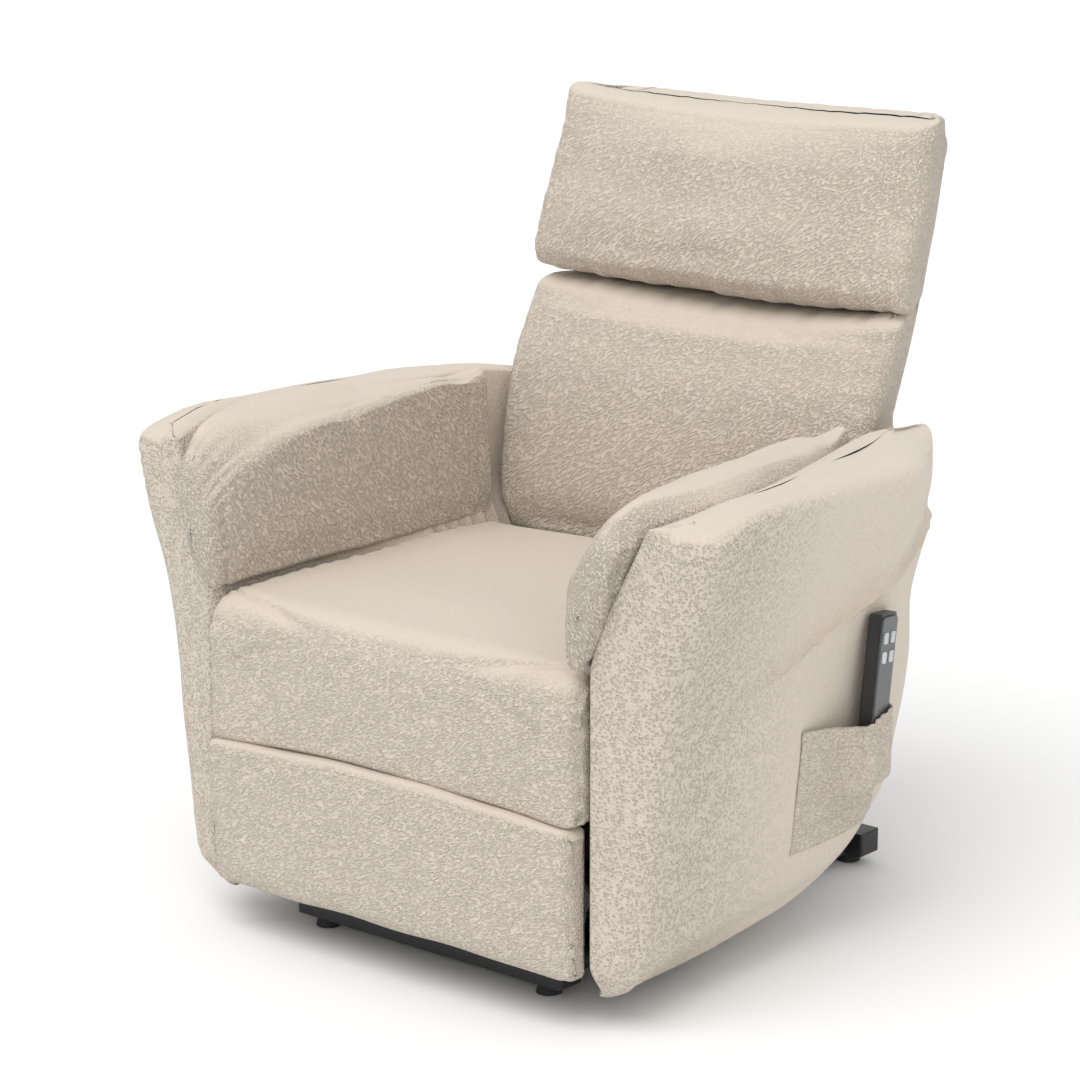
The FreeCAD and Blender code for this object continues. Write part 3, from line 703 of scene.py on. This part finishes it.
def outer_x(grid, y, z):
    """Where the outside of an arm grid is, at one place."""
    mask = (grid[..., 0] > 0.33) & (grid[..., 1] > -0.39)
    points = grid[mask]
    distance = (points[:, 1] - y) ** 2 + (points[:, 2] - z) ** 2
    best = points[np.argsort(distance)[:24]]
    outer = best[best[:, 0] > best[:, 0].max() - 0.02]
    weight = 1 / (1e-6 + (outer[:, 1] - y) ** 2 + (outer[:, 2] - z) ** 2)
    return float((outer[:, 0] * weight).sum() / weight.sum())


def spined(grid, low_drop, high_rise):
    """Closes the arm's curved ends onto the middle line of each outline."""
    out = []
    for ring, rise in ((grid[0], -low_drop), (grid[-1], high_rise)):
        mate = spine_of(ring)
        out.append([ring + (mate - ring) * t + [0, 0, rise * (1 - (1 - t) ** 2)]
                    for t in (0.12, 0.3, 0.55, 0.8, 1.0)])
    low, high = out
    return np.array(low[::-1] + list(grid) + high)


def spine_of(ring):
    """For every point of a long outline, the place on its middle line at the same depth."""
    y = ring[:, 1]
    low, high = y.min() + 0.020, y.max() - 0.020
    levels = np.linspace(low, high, 60)
    middle = []
    for level in levels:
        near = ring[np.abs(y - level) < 0.020]
        middle.append((near[:, 0].min() + near[:, 0].max()) / 2)
    middle = np.convolve(np.pad(middle, 6, mode="edge"), np.ones(13) / 13, mode="valid")
    inner_y = np.clip(y, low + 0.012, high - 0.012)
    return np.stack([np.interp(inner_y, levels, middle), inner_y, ring[:, 2]], 1)


def flipped(grid):
    """The same piece on the left side."""
    return grid * np.array([-1, 1, 1])


arm_rings = arm_cover_grid()
for side, label in ((1, "right"), (-1, "left")):
    grid = spined(arm_rings, 0.002, 0.0035)
    piece = tube_piece(label + "_arm_cover", grid if side > 0 else flipped(grid))
    finish(piece, "chair", side_cloth)
    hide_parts(label + "_arm_shell", label + "_side_panel")


# ---------------------------------------------------------------- arm pads
PAD_Y = [-0.422, -0.345, -0.275, -0.173, -0.049, 0.088]
PAD_CORNERS = [
    [(0.281, PAD_BASE, 0.018)] * 6,
    [(0.300, PAD_BASE, 0.010)] * 6,
    [(0.325, 0.522, 0.200), (0.330, 0.522, 0.200), (0.331, 0.522, 0.200), (0.326, 0.522, 0.200),
     (0.316, 0.522, 0.200), (0.305, 0.522, 0.200)],
    [(0.350, 0.612, 0.022), (0.380, 0.612, 0.022), (0.402, 0.612, 0.022), (0.386, 0.612, 0.022),
     (0.356, 0.612, 0.020), (0.318, 0.612, 0.018)],
    [(0.330, 0.645, 0.016), (0.354, 0.648, 0.016), (0.370, 0.648, 0.016), (0.356, 0.648, 0.016),
     (0.332, 0.648, 0.016), (0.302, 0.644, 0.016)],
    [(0.316, 0.650, 0.030), (0.314, 0.651, 0.026), (0.308, 0.651, 0.024), (0.300, 0.650, 0.022),
     (0.292, 0.650, 0.020), (0.290, 0.645, 0.018)],
    [(0.284, 0.606, 0.050), (0.282, 0.620, 0.036), (0.281, 0.630, 0.028), (0.281, 0.635, 0.022),
     (0.281, 0.636, 0.020), (0.281, 0.632, 0.018)],
]
PAD_EDGES = [4, 14, 14, 5, 12, 10, 26]
PAD_END_STEPS = 12


def pad_grid():
    """One arm pad: outlines across it from front to rear, sinking towards its front end."""
    rings = []
    for y in np.linspace(PAD_Y[0], PAD_Y[-1], 100):
        corners = [tuple(float(spline(y, PAD_Y, [c[k] for c in row])) for k in range(3))
                   for row in PAD_CORNERS]
        loop = rounded_loop(corners, PAD_EDGES, 9)
        rings.append(np.stack([loop[:, 0], np.full(len(loop), y), loop[:, 1]], 1))
    grid = closed_tube(rings, (0, -1, 0), (0, 1, 0), 0.020, 0.008, PAD_END_STEPS, 2.7)
    swell = cloth_swell(grid, 5, 4, 5.0, 0.009, 0.02)
    outer_side = smooth(0.300, 0.330, grid[..., 0]) * smooth(0.645, 0.625, grid[..., 2])
    swell[..., 0] *= 0.6 * (1 - outer_side)
    low = smooth(0.50, 0.45, grid[..., 2])
    swell *= (1 - 0.85 * low)[..., None]
    grid = grid + swell
    rows, columns = grid.shape[:2]
    row = np.arange(rows)[:, None] * np.ones((1, columns))
    front_seam = np.abs(row - PAD_END_STEPS - 2) * 0.0052
    amount = groove(front_seam, 0.0030, 0.0045)
    amount = amount + puckers(grid[..., 2] + grid[..., 0], front_seam, 0.024, 0.0020, 0.035, 3)
    amount = amount + ripple(grid, 21, 0.13, 0.0040)
    grid = pushed(grid, amount)
    y, z = grid[..., 1], grid[..., 2]
    inner_height = spline(y, [-0.470, -0.442, -0.420, -0.388, -0.333, -0.221, 0.0],
                          [0.48, 0.60, 0.72, 0.83, 0.91, 0.97, 1.0])
    outer_height = spline(y, [-0.470, -0.440, -0.420, -0.385, -0.330, 0.0],
                          [0.62, 0.76, 0.87, 0.955, 0.985, 1.0])
    across = smooth(0.290, 0.345, grid[..., 0])
    height = inner_height * (1 - across) + outer_height * across
    grid[..., 2] = PAD_BASE + (z - PAD_BASE) * np.where(z > PAD_BASE, height, 1.0)
    grid[..., 1] -= 0.035 * (grid[..., 2] - 0.44) * smooth(-0.05, 0.09, y)
    grid[..., 0] = np.maximum(grid[..., 0], PAD_INNER)
    return grid


pads = pad_grid()
for side, label in ((1, "right"), (-1, "left")):
    piece = tube_piece(label + "_arm_cushion", pads if side > 0 else flipped(pads))
    finish(piece, "chair", pad_cloth)
    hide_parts(label + "_arm_pad")


# ---------------------------------------------------------------- seat
SEAT_EDGES = [40, 6, 110, 20, 60]


def standing(loop, x):
    """An outline drawn in Y and Z, set up at one x."""
    return np.stack([np.full(len(loop), x), loop[:, 0], loop[:, 1]], 1)


def side_rounded(loop, x, half, reach, depth):
    """The outline drawn in near the piece's two sides, so that their edges are round."""
    edge = max(0.0, 1 - (half - abs(x)) / reach)
    return inward(loop, np.full(len(loop), depth * (1 - math.sqrt(1 - edge**2))))


def seat_loop(x):
    """Outline of the seat at one x: flat front, round nose, crowned top."""
    share = x / SEAT_HALF
    bottom = SEAT_LOW + 0.015 * (1 - share**2)
    crown = 0.006 * (1 - share**2)
    corners = [
        (SEAT_FRONT + 0.003, bottom, 0.008),
        (SEAT_FRONT - 0.003, SEAT_TOP - 0.001 + crown * 0.3, 0.052),
        (-0.300, SEAT_TOP + 0.002 + crown, 0.300),
        (SEAT_REAR, SEAT_TOP - 0.002 + crown, 0.022),
        (0.060, bottom + 0.004, 0.020),
    ]
    return rounded_loop(corners, SEAT_EDGES, 28)


def seat_grid():
    """The seat cushion with the curved seam over its front edge."""
    rings = []
    for x in np.linspace(-SEAT_HALF, SEAT_HALF, 132):
        rings.append(standing(side_rounded(seat_loop(x), x, SEAT_HALF, 0.022, 0.020), x))
    grid = closed_tube(rings, (-1, 0, 0), (1, 0, 0), 0.001, 0.001, 6, 4.0)
    swell = cloth_swell(grid, 5, 6)
    swell[..., 0] *= 0.25
    under = smooth(0.325, 0.275, grid[..., 2])
    swell *= (1 - 0.9 * under)[..., None]
    grid = grid + swell
    x, y, z = grid[..., 0], grid[..., 1], grid[..., 2]
    share = np.clip(np.abs(x) / SEAT_HALF, 0, 1)
    seam_y = -0.4345 + 0.045 * share**2.4
    seam_z_there = 0.4185 + 0.02 * share
    on_front_top = (z > 0.36) & (y < -0.30)
    seam_line = np.where(on_front_top, np.abs((y - seam_y) + 0.45 * (seam_z_there - z)), 1.0)
    amount = groove(seam_line, 0.0040, 0.0040)
    amount = amount + puckers(x, seam_line, 0.028, 0.0010, 0.020, 8) * on_front_top
    side = np.abs(np.abs(x) - SEAT_HALF)
    amount = amount + puckers(z + y, side, 0.030, 0.0018, 0.030, 9)
    amount = amount + ripple(grid, 31, 0.20, 0.0040)
    grid = pushed(grid, amount)
    between_arms = smooth(-0.400, -0.380, grid[..., 1])
    grid[..., 0] *= 1 - between_arms * (1 - SEAT_HALF_BEHIND / SEAT_HALF)
    grid[..., 1] = np.maximum(grid[..., 1], SEAT_FRONT - 0.0085)
    return grid


seat_piece = tube_piece("seat_cushion_cover", seat_grid())
finish(seat_piece, "chair", front_cloth)
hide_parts("seat_cushion")


# ---------------------------------------------------------------- leg rest
LEG_EDGES = [6, 40, 6, 40]


def leg_loop(x):
    """Outline of the leg rest at one x: a thin pad, with returns at its sides."""
    share = x / LEG_HALF
    top = LEG_TOP + 0.015 * (1 - share**2)
    low = LEG_LOW + 0.004 * (1 - share**2)
    front = LEG_FRONT - 0.007 * (1 - share**4)
    rear = LEG_REAR + 0.014 * float(smooth(0.2715, 0.2760, abs(x)))
    corners = [(rear, low, 0.008), (front + 0.002, low, 0.016), (front, top, 0.009), (rear, top, 0.008)]
    return rounded_loop(corners, LEG_EDGES, 10)


def leg_grid():
    """The leg rest cushion, stuffed and gathered on its front only."""
    rings = []
    for x in np.linspace(-LEG_HALF, LEG_HALF, 120):
        rings.append(standing(side_rounded(leg_loop(x), x, LEG_HALF, 0.012, 0.010), x))
    grid = closed_tube(rings, (-1, 0, 0), (1, 0, 0), 0.001, 0.001, 5, 4.0)
    swell = cloth_swell(grid, 5, 4, 3.0, 0.006)
    swell[..., 0] *= 0.2
    swell[..., 1] *= smooth(-0.418, -0.430, grid[..., 1])
    swell[..., 2] *= 0.3
    grid = grid + swell * 0.8
    side = np.abs(np.abs(grid[..., 0]) - LEG_HALF)
    front_side = smooth(-0.420, -0.432, grid[..., 1])
    amount = puckers(grid[..., 2], side, 0.027, 0.0016, 0.030, 13)
    amount = amount + ripple(grid, 41, 0.17, 0.0035)
    grid = pushed(grid, amount * front_side)
    grid[..., 1] = np.maximum(grid[..., 1], LEG_FRONT - 0.018)
    return grid


leg_piece = tube_piece("leg_rest_cover", leg_grid())
finish(leg_piece, "leg_rest", front_cloth)
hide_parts("leg_panel_cushion")


# ---------------------------------------------------------------- backrest
BACK_EDGES = [70, 26, 40, 26]
LOWER_Z = [0.420, 0.470, 0.540, 0.602, 0.655, 0.700, 0.735, 0.758, 0.768]
LOWER_FRONT = [0.116, 0.110, 0.115, 0.128, 0.146, 0.169, 0.188, 0.202, 0.216]
LOWER_HALF = [0.286, 0.296, 0.301, 0.303, 0.305, 0.307, 0.309, 0.310, 0.308]
HEAD_Z = [0.764, 0.772, 0.790, 0.830, 0.890, 0.950, 0.985, 1.000, 1.008]
HEAD_FRONT = [0.218, 0.204, 0.198, 0.208, 0.240, 0.265, 0.278, 0.287, 0.299]
HEAD_HALF = [0.307, 0.311, 0.313, 0.310, 0.307, 0.304, 0.304, 0.306, 0.307]


def back_ring(z, front_y, front_half, rear_half, rear_y, crown, edge_radius):
    """A level outline of the backrest: a crowned front, and sides that draw in behind."""
    loop = rounded_loop([(-front_half, front_y, edge_radius), (front_half, front_y, edge_radius),
                         (rear_half, rear_y, 0.012), (-rear_half, rear_y, 0.012)],
                        BACK_EDGES, 10)
    share = np.clip(np.abs(loop[:, 0]) / front_half, 0, 1)
    facing = smooth(front_y + 0.06, front_y + 0.01, loop[:, 1])
    loop[:, 1] -= crown * (1 - share**2.6) * facing
    return np.stack([loop[:, 0], loop[:, 1], np.full(len(loop), z)], 1)


def cushion_rings(zs, knots, fronts, halves, crown):
    """Rings of one back cushion, whose front is crowned by an amount for each height."""
    rings = [back_ring(z, float(spline(z, knots, fronts)), float(spline(z, knots, halves)),
                       float(rear_half(z)), frame_y(z) - 0.001, crown(z), 0.016) for z in zs]
    return soft_ends(rings, 0.014)


def stuffed(grid):
    """The cushion swollen as cloth, but held flat against its boards."""
    swell = cloth_swell(grid, 5, 5)
    swell *= (smooth(0.0, 0.04, frame_y(grid[..., 2]) - grid[..., 1]))[..., None]
    swell[..., 0] *= 0.2
    return grid + swell


def on_front(grid, knots, fronts):
    """1 on a cushion's front, fading to 0 along its sides."""
    return smooth(0.07, 0.03, grid[..., 1] - spline(grid[..., 2], knots, fronts))


def lower_crown(z):
    return 0.020 * float(smooth(0.40, 0.50, z)) * float(smooth(0.772, 0.72, z)) + 0.004


def head_crown(z):
    return 0.024 * float(smooth(0.762, 0.800, z)) * float(smooth(1.03, 0.93, z)) + 0.003


def lower_back_grid():
    zs = np.linspace(BACK_BOTTOM - 0.010, CREASE - 0.004, 110)
    rings = cushion_rings(zs, LOWER_Z, LOWER_FRONT, LOWER_HALF, lower_crown)
    grid = folded_tube(rings, -0.003, 0.003)
    sag = 0.008 * (1 - (grid[..., 0] / 0.31) ** 2) * smooth(0.70, 0.768, grid[..., 2])
    grid[..., 2] -= sag
    grid = stuffed(grid)
    facing = on_front(grid, LOWER_Z, LOWER_FRONT)
    x, z = grid[..., 0], grid[..., 2]
    side = np.abs(np.abs(x) - 0.300)
    amount = groove(side, 0.0020, 0.0035) * facing
    amount = amount + puckers(z, side, 0.030, 0.0007, 0.035, 17) * facing
    amount = amount + puckers(x, np.abs(z - 0.764), 0.045, 0.0022, 0.040, 18) * facing
    amount = amount + ripple(grid, 51, 0.20, 0.0050) * facing
    return pushed(grid, amount)


def head_grid():
    """The head cushion, with ears at its upper corners and a top that falls to the rear."""
    zs = np.linspace(CREASE - 0.002, BACK_TOP - 0.006, 84)
    rings = cushion_rings(zs, HEAD_Z, HEAD_FRONT, HEAD_HALF, head_crown)
    grid = folded_tube(rings, -0.003, 0.005)
    share = np.clip(np.abs(grid[..., 0]) / 0.305, 0, 1.05)
    ears = 0.015 * share**16 - 0.003 * (1 - share**2)
    near_top = smooth(0.93, 1.005, grid[..., 2])
    ear_width = 0.007 * smooth(0.955, 0.995, grid[..., 2]) * smooth(0.80, 1.0, share)
    grid[..., 0] += np.sign(grid[..., 0]) * ear_width
    grid[..., 2] += ears * near_top * smooth(0.37, 0.31, grid[..., 1])
    grid[..., 2] -= near_top * 0.13 * np.maximum(grid[..., 1] - 0.305, 0)
    sag = 0.008 * (1 - share**2) * smooth(0.84, 0.768, grid[..., 2])
    grid[..., 2] -= sag
    grid = stuffed(grid)
    grid[..., 2] += near_top * 0.05 * np.maximum(grid[..., 1] - 0.330, 0)
    facing = on_front(grid, HEAD_Z, HEAD_FRONT)
    x, z = grid[..., 0], grid[..., 2]
    side = np.abs(np.abs(x) - 0.302)
    amount = groove(side, 0.0020, 0.0035) * facing
    amount = amount + puckers(z, side, 0.030, 0.0008, 0.040, 27) * facing
    amount = amount + puckers(x, np.abs(z - 0.770), 0.040, 0.0020, 0.035, 28) * facing
    amount = amount + puckers(x, np.abs(z - 1.004), 0.036, 0.0008, 0.030, 29)
    amount = amount + ripple(grid, 52, 0.20, 0.0050) * facing
    return pushed(grid, amount)


def rear_grid():
    """The cover over the backrest's boards, wider low down and thinner at its top."""
    rings = []
    for z in np.linspace(REAR_COVER_LOW, REAR_COVER_TOP, 110):
        end = float(smooth(0.94, 0.992, z))
        depth = 0.054 - 0.022 * end
        low = float(smooth(0.62, 0.50, z))
        rings.append(back_ring(z, frame_y(z) - 0.0005, float(rear_half(z)) + 0.020 * low,
                               REAR_COVER_HALF + 0.032 * low, frame_y(z) + depth, 0.0, 0.004))
    grid = folded_tube(soft_ends(rings, 0.011), -0.003, 0.003)
    x, y, z = grid[..., 0], grid[..., 1], grid[..., 2]
    behind = smooth(0.02, 0.045, y - frame_y(z))
    share = np.clip(np.abs(x) / 0.216, 0, 1)
    amount = behind * (0.006 * (1 - share**3) + ripple(grid, 61, 0.22, 0.003))
    side = np.abs(np.abs(x) - REAR_COVER_HALF)
    amount = amount + puckers(z, side, 0.030, 0.0014, 0.030, 62) * behind
    amount = amount + groove(np.abs(z - 0.760), 0.0026, 0.0040) * behind
    grid = pushed(grid, amount)
    grid[..., 1] = np.minimum(grid[..., 1], REAR_LIMIT)
    return grid


for name, grid, cad in (("lower_back_cover", lower_back_grid(), "lower_back_cushion"),
                        ("head_cover", head_grid(), "head_cushion"),
                        ("backrest_rear_cover", rear_grid(), "back_rear_cover")):
    piece = tube_piece(name, grid)
    finish(piece, "backrest", back_cloth)
    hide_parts(cad)


# ---------------------------------------------------------------- lower rear panel
def rear_panel_grid():
    corners = [(-REAR_PANEL_HALF, REAR_PANEL_FRONT, 0.004), (REAR_PANEL_HALF, REAR_PANEL_FRONT, 0.004),
               (REAR_PANEL_HALF, REAR_PANEL_REAR, 0.004), (-REAR_PANEL_HALF, REAR_PANEL_REAR, 0.004)]
    loop = rounded_loop(corners, [60, 2, 60, 2], 4)
    rings = [np.column_stack([loop, np.full(len(loop), z)])
             for z in np.linspace(REAR_PANEL_LOW, REAR_PANEL_TOP, 40)]
    grid = closed_tube(rings, (0, 0, -1), (0, 0, 1), 0.004, 0.004, 4, 2.4)
    behind = smooth(0.243, 0.246, grid[..., 1])
    share = np.clip(np.abs(grid[..., 0]) / REAR_PANEL_HALF, 0, 1)
    high = np.clip((grid[..., 2] - 0.150) / 0.151, 0, 1)
    bulge = 0.010 * (1 - share**4) * np.clip(4 * high * (1 - high), 0, 1) ** 0.6
    grid[..., 1] += behind * (bulge + ripple(grid, 71, 0.15, 0.002))
    return grid


piece = tube_piece("lower_rear_cover", rear_panel_grid())
finish(piece, "chair", front_cloth)
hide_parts("rear_cover")


# ---------------------------------------------------------------- pocket
POCKET_FRONT = -0.106
POCKET_REAR = 0.074
POCKET_LOW = 0.150
POCKET_ROWS = 60
POCKET_COLUMNS = 90
POCKET_CLOTH = 1.6 * MM
HANDSET_CLEAR = 0.4185      # where the pocket's cloth passes outside the handset
SKIN_LEVELS = np.linspace(POCKET_LOW, 0.320, 12)


def thick_sheet(name, outer, thickness):
    """A sheet of cloth with two faces and a rim, from an open grid of points."""
    rows, columns = outer.shape[:2]
    normal = np.cross(np.gradient(outer, axis=1), np.gradient(outer, axis=0))
    normal /= np.maximum(np.linalg.norm(normal, axis=2, keepdims=True), 1e-9)
    if normal[..., 0].mean() < 0:
        normal = -normal
    inner = outer - normal * thickness
    points = np.concatenate([outer.reshape(-1, 3), inner.reshape(-1, 3)])
    total = rows * columns
    faces = []
    for i in range(rows - 1):
        for j in range(columns - 1):
            a = i * columns + j
            quad = (a, a + 1, a + columns + 1, a + columns)
            faces.append(quad)
            faces.append(tuple(total + k for k in reversed(quad)))
    rim = (list(range(columns)) + [i * columns + columns - 1 for i in range(1, rows)]
           + [(rows - 1) * columns + j for j in range(columns - 2, -1, -1)]
           + [i * columns for i in range(rows - 2, 0, -1)])
    for a, b in zip(rim, rim[1:] + rim[:1]):
        faces.append((a, b, total + b, total + a))
    piece = add_mesh(name, points, faces)
    outward_faces(piece.data, merge=True)
    return piece


def pocket_point(y, share, skin):
    """One point of the pocket: where along the arm, how far up, and the arm's own outside there."""
    across = (y - POCKET_FRONT) / (POCKET_REAR - POCKET_FRONT)
    mouth = 0.3105 + 0.008 * across - 0.007 * math.sin(math.pi * across)
    z = POCKET_LOW + (mouth - POCKET_LOW) * share
    base = float(np.interp(z, SKIN_LEVELS, skin))
    full = math.sin(math.pi * across) ** 0.55
    held = float(smooth(-0.078, -0.022, y)) * float(smooth(0.074, 0.040, y))
    clear = HANDSET_CLEAR - 0.0100 * float(smooth(-0.015, 0.040, y))
    room = max(clear - base, 0.0) * held * float(smooth(0.25, 0.50, share))
    out = 0.012 * full * float(smooth(0.0, 0.75, share)) * (0.35 + 0.65 * share)
    out = math.hypot(out, room)
    gather = 0.0016 * math.sin(across * 62) * float(smooth(0.55, 0.95, share)) * full
    fold = 0.0018 * math.sin(across * 23 + share * 3) * float(smooth(0.05, 0.5, share)) * full
    return base + 0.0014 + out + gather + fold, y, z


def pocket_grid():
    """The pocket's outer face from its bottom to its hemmed mouth."""
    ys = np.linspace(POCKET_FRONT, POCKET_REAR, POCKET_COLUMNS)
    shares = np.linspace(0, 1, POCKET_ROWS)
    skins = [[outer_x(arm_rings, y, z) for z in SKIN_LEVELS] for y in ys]
    grid = np.array([[pocket_point(y, share, skin) for y, skin in zip(ys, skins)] for share in shares])
    hem = np.abs(shares[:, None] * 0.125 - 0.115)
    grid[..., 0] += groove(hem, 0.0012, 0.0016) + 0.0008 * (hem < 0.010)
    return grid


pocket = thick_sheet("pocket_cover", pocket_grid(), POCKET_CLOTH)
finish(pocket, "chair", pouch_cloth)
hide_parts("handset_pocket")


# ---------------------------------------------------------------- setting
def add_floor():
    work = bmesh.new()
    bmesh.ops.create_grid(work, x_segments=8, y_segments=8, size=45)
    mesh = bpy.data.meshes.new("floor")
    work.to_mesh(mesh)
    work.free()
    floor = bpy.data.objects.new("floor", mesh)
    floor.location = (0, 0, -0.0005)
    bpy.context.scene.collection.objects.link(floor)
    material, _, shader = new_material("pale_floor")
    shader.inputs["Base Color"].default_value = (0.93, 0.93, 0.93, 1)
    shader.inputs["Roughness"].default_value = 0.9
    shader.inputs["Specular IOR Level"].default_value = 0.1
    mesh.materials.append(material)


def add_lights():
    world = bpy.data.worlds.new("studio")
    world.use_nodes = True
    background = world.node_tree.nodes["Background"]
    background.inputs["Color"].default_value = (1, 1, 1, 1)
    background.inputs["Strength"].default_value = 0.74
    bpy.context.scene.world = world
    for name, direction, power, angle in (("key", (0.05, -0.60, 1.0), 1.40, 46),
                                          ("fill", (0.9, -0.7, 0.5), 0.50, 60)):
        light = bpy.data.lights.new(name, "SUN")
        light.energy = power
        light.angle = math.radians(angle)
        lamp = bpy.data.objects.new(name, light)
        lamp.rotation_euler = Vector(direction).to_track_quat("Z", "Y").to_euler()
        bpy.context.scene.collection.objects.link(lamp)


def add_camera():
    azimuth = math.radians(39.80)
    elevation = math.radians(13.93)
    distance = 4.398
    target = Vector((-0.0638, -0.0631, 0.4693))
    back = Vector((math.sin(azimuth) * math.cos(elevation), -math.cos(azimuth) * math.cos(elevation),
                   math.sin(elevation)))
    lens = bpy.data.cameras.new("camera")
    lens.sensor_width = 36.0
    lens.lens = 114.6
    lens.clip_end = 200.0
    camera = bpy.data.objects.new("camera", lens)
    camera.location = target + back * distance
    camera.rotation_euler = back.to_track_quat("Z", "Y").to_euler()
    bpy.context.scene.collection.objects.link(camera)
    bpy.context.scene.camera = camera


add_floor()
add_lights()
add_camera()
bpy.context.scene.view_settings.view_transform = "Standard"
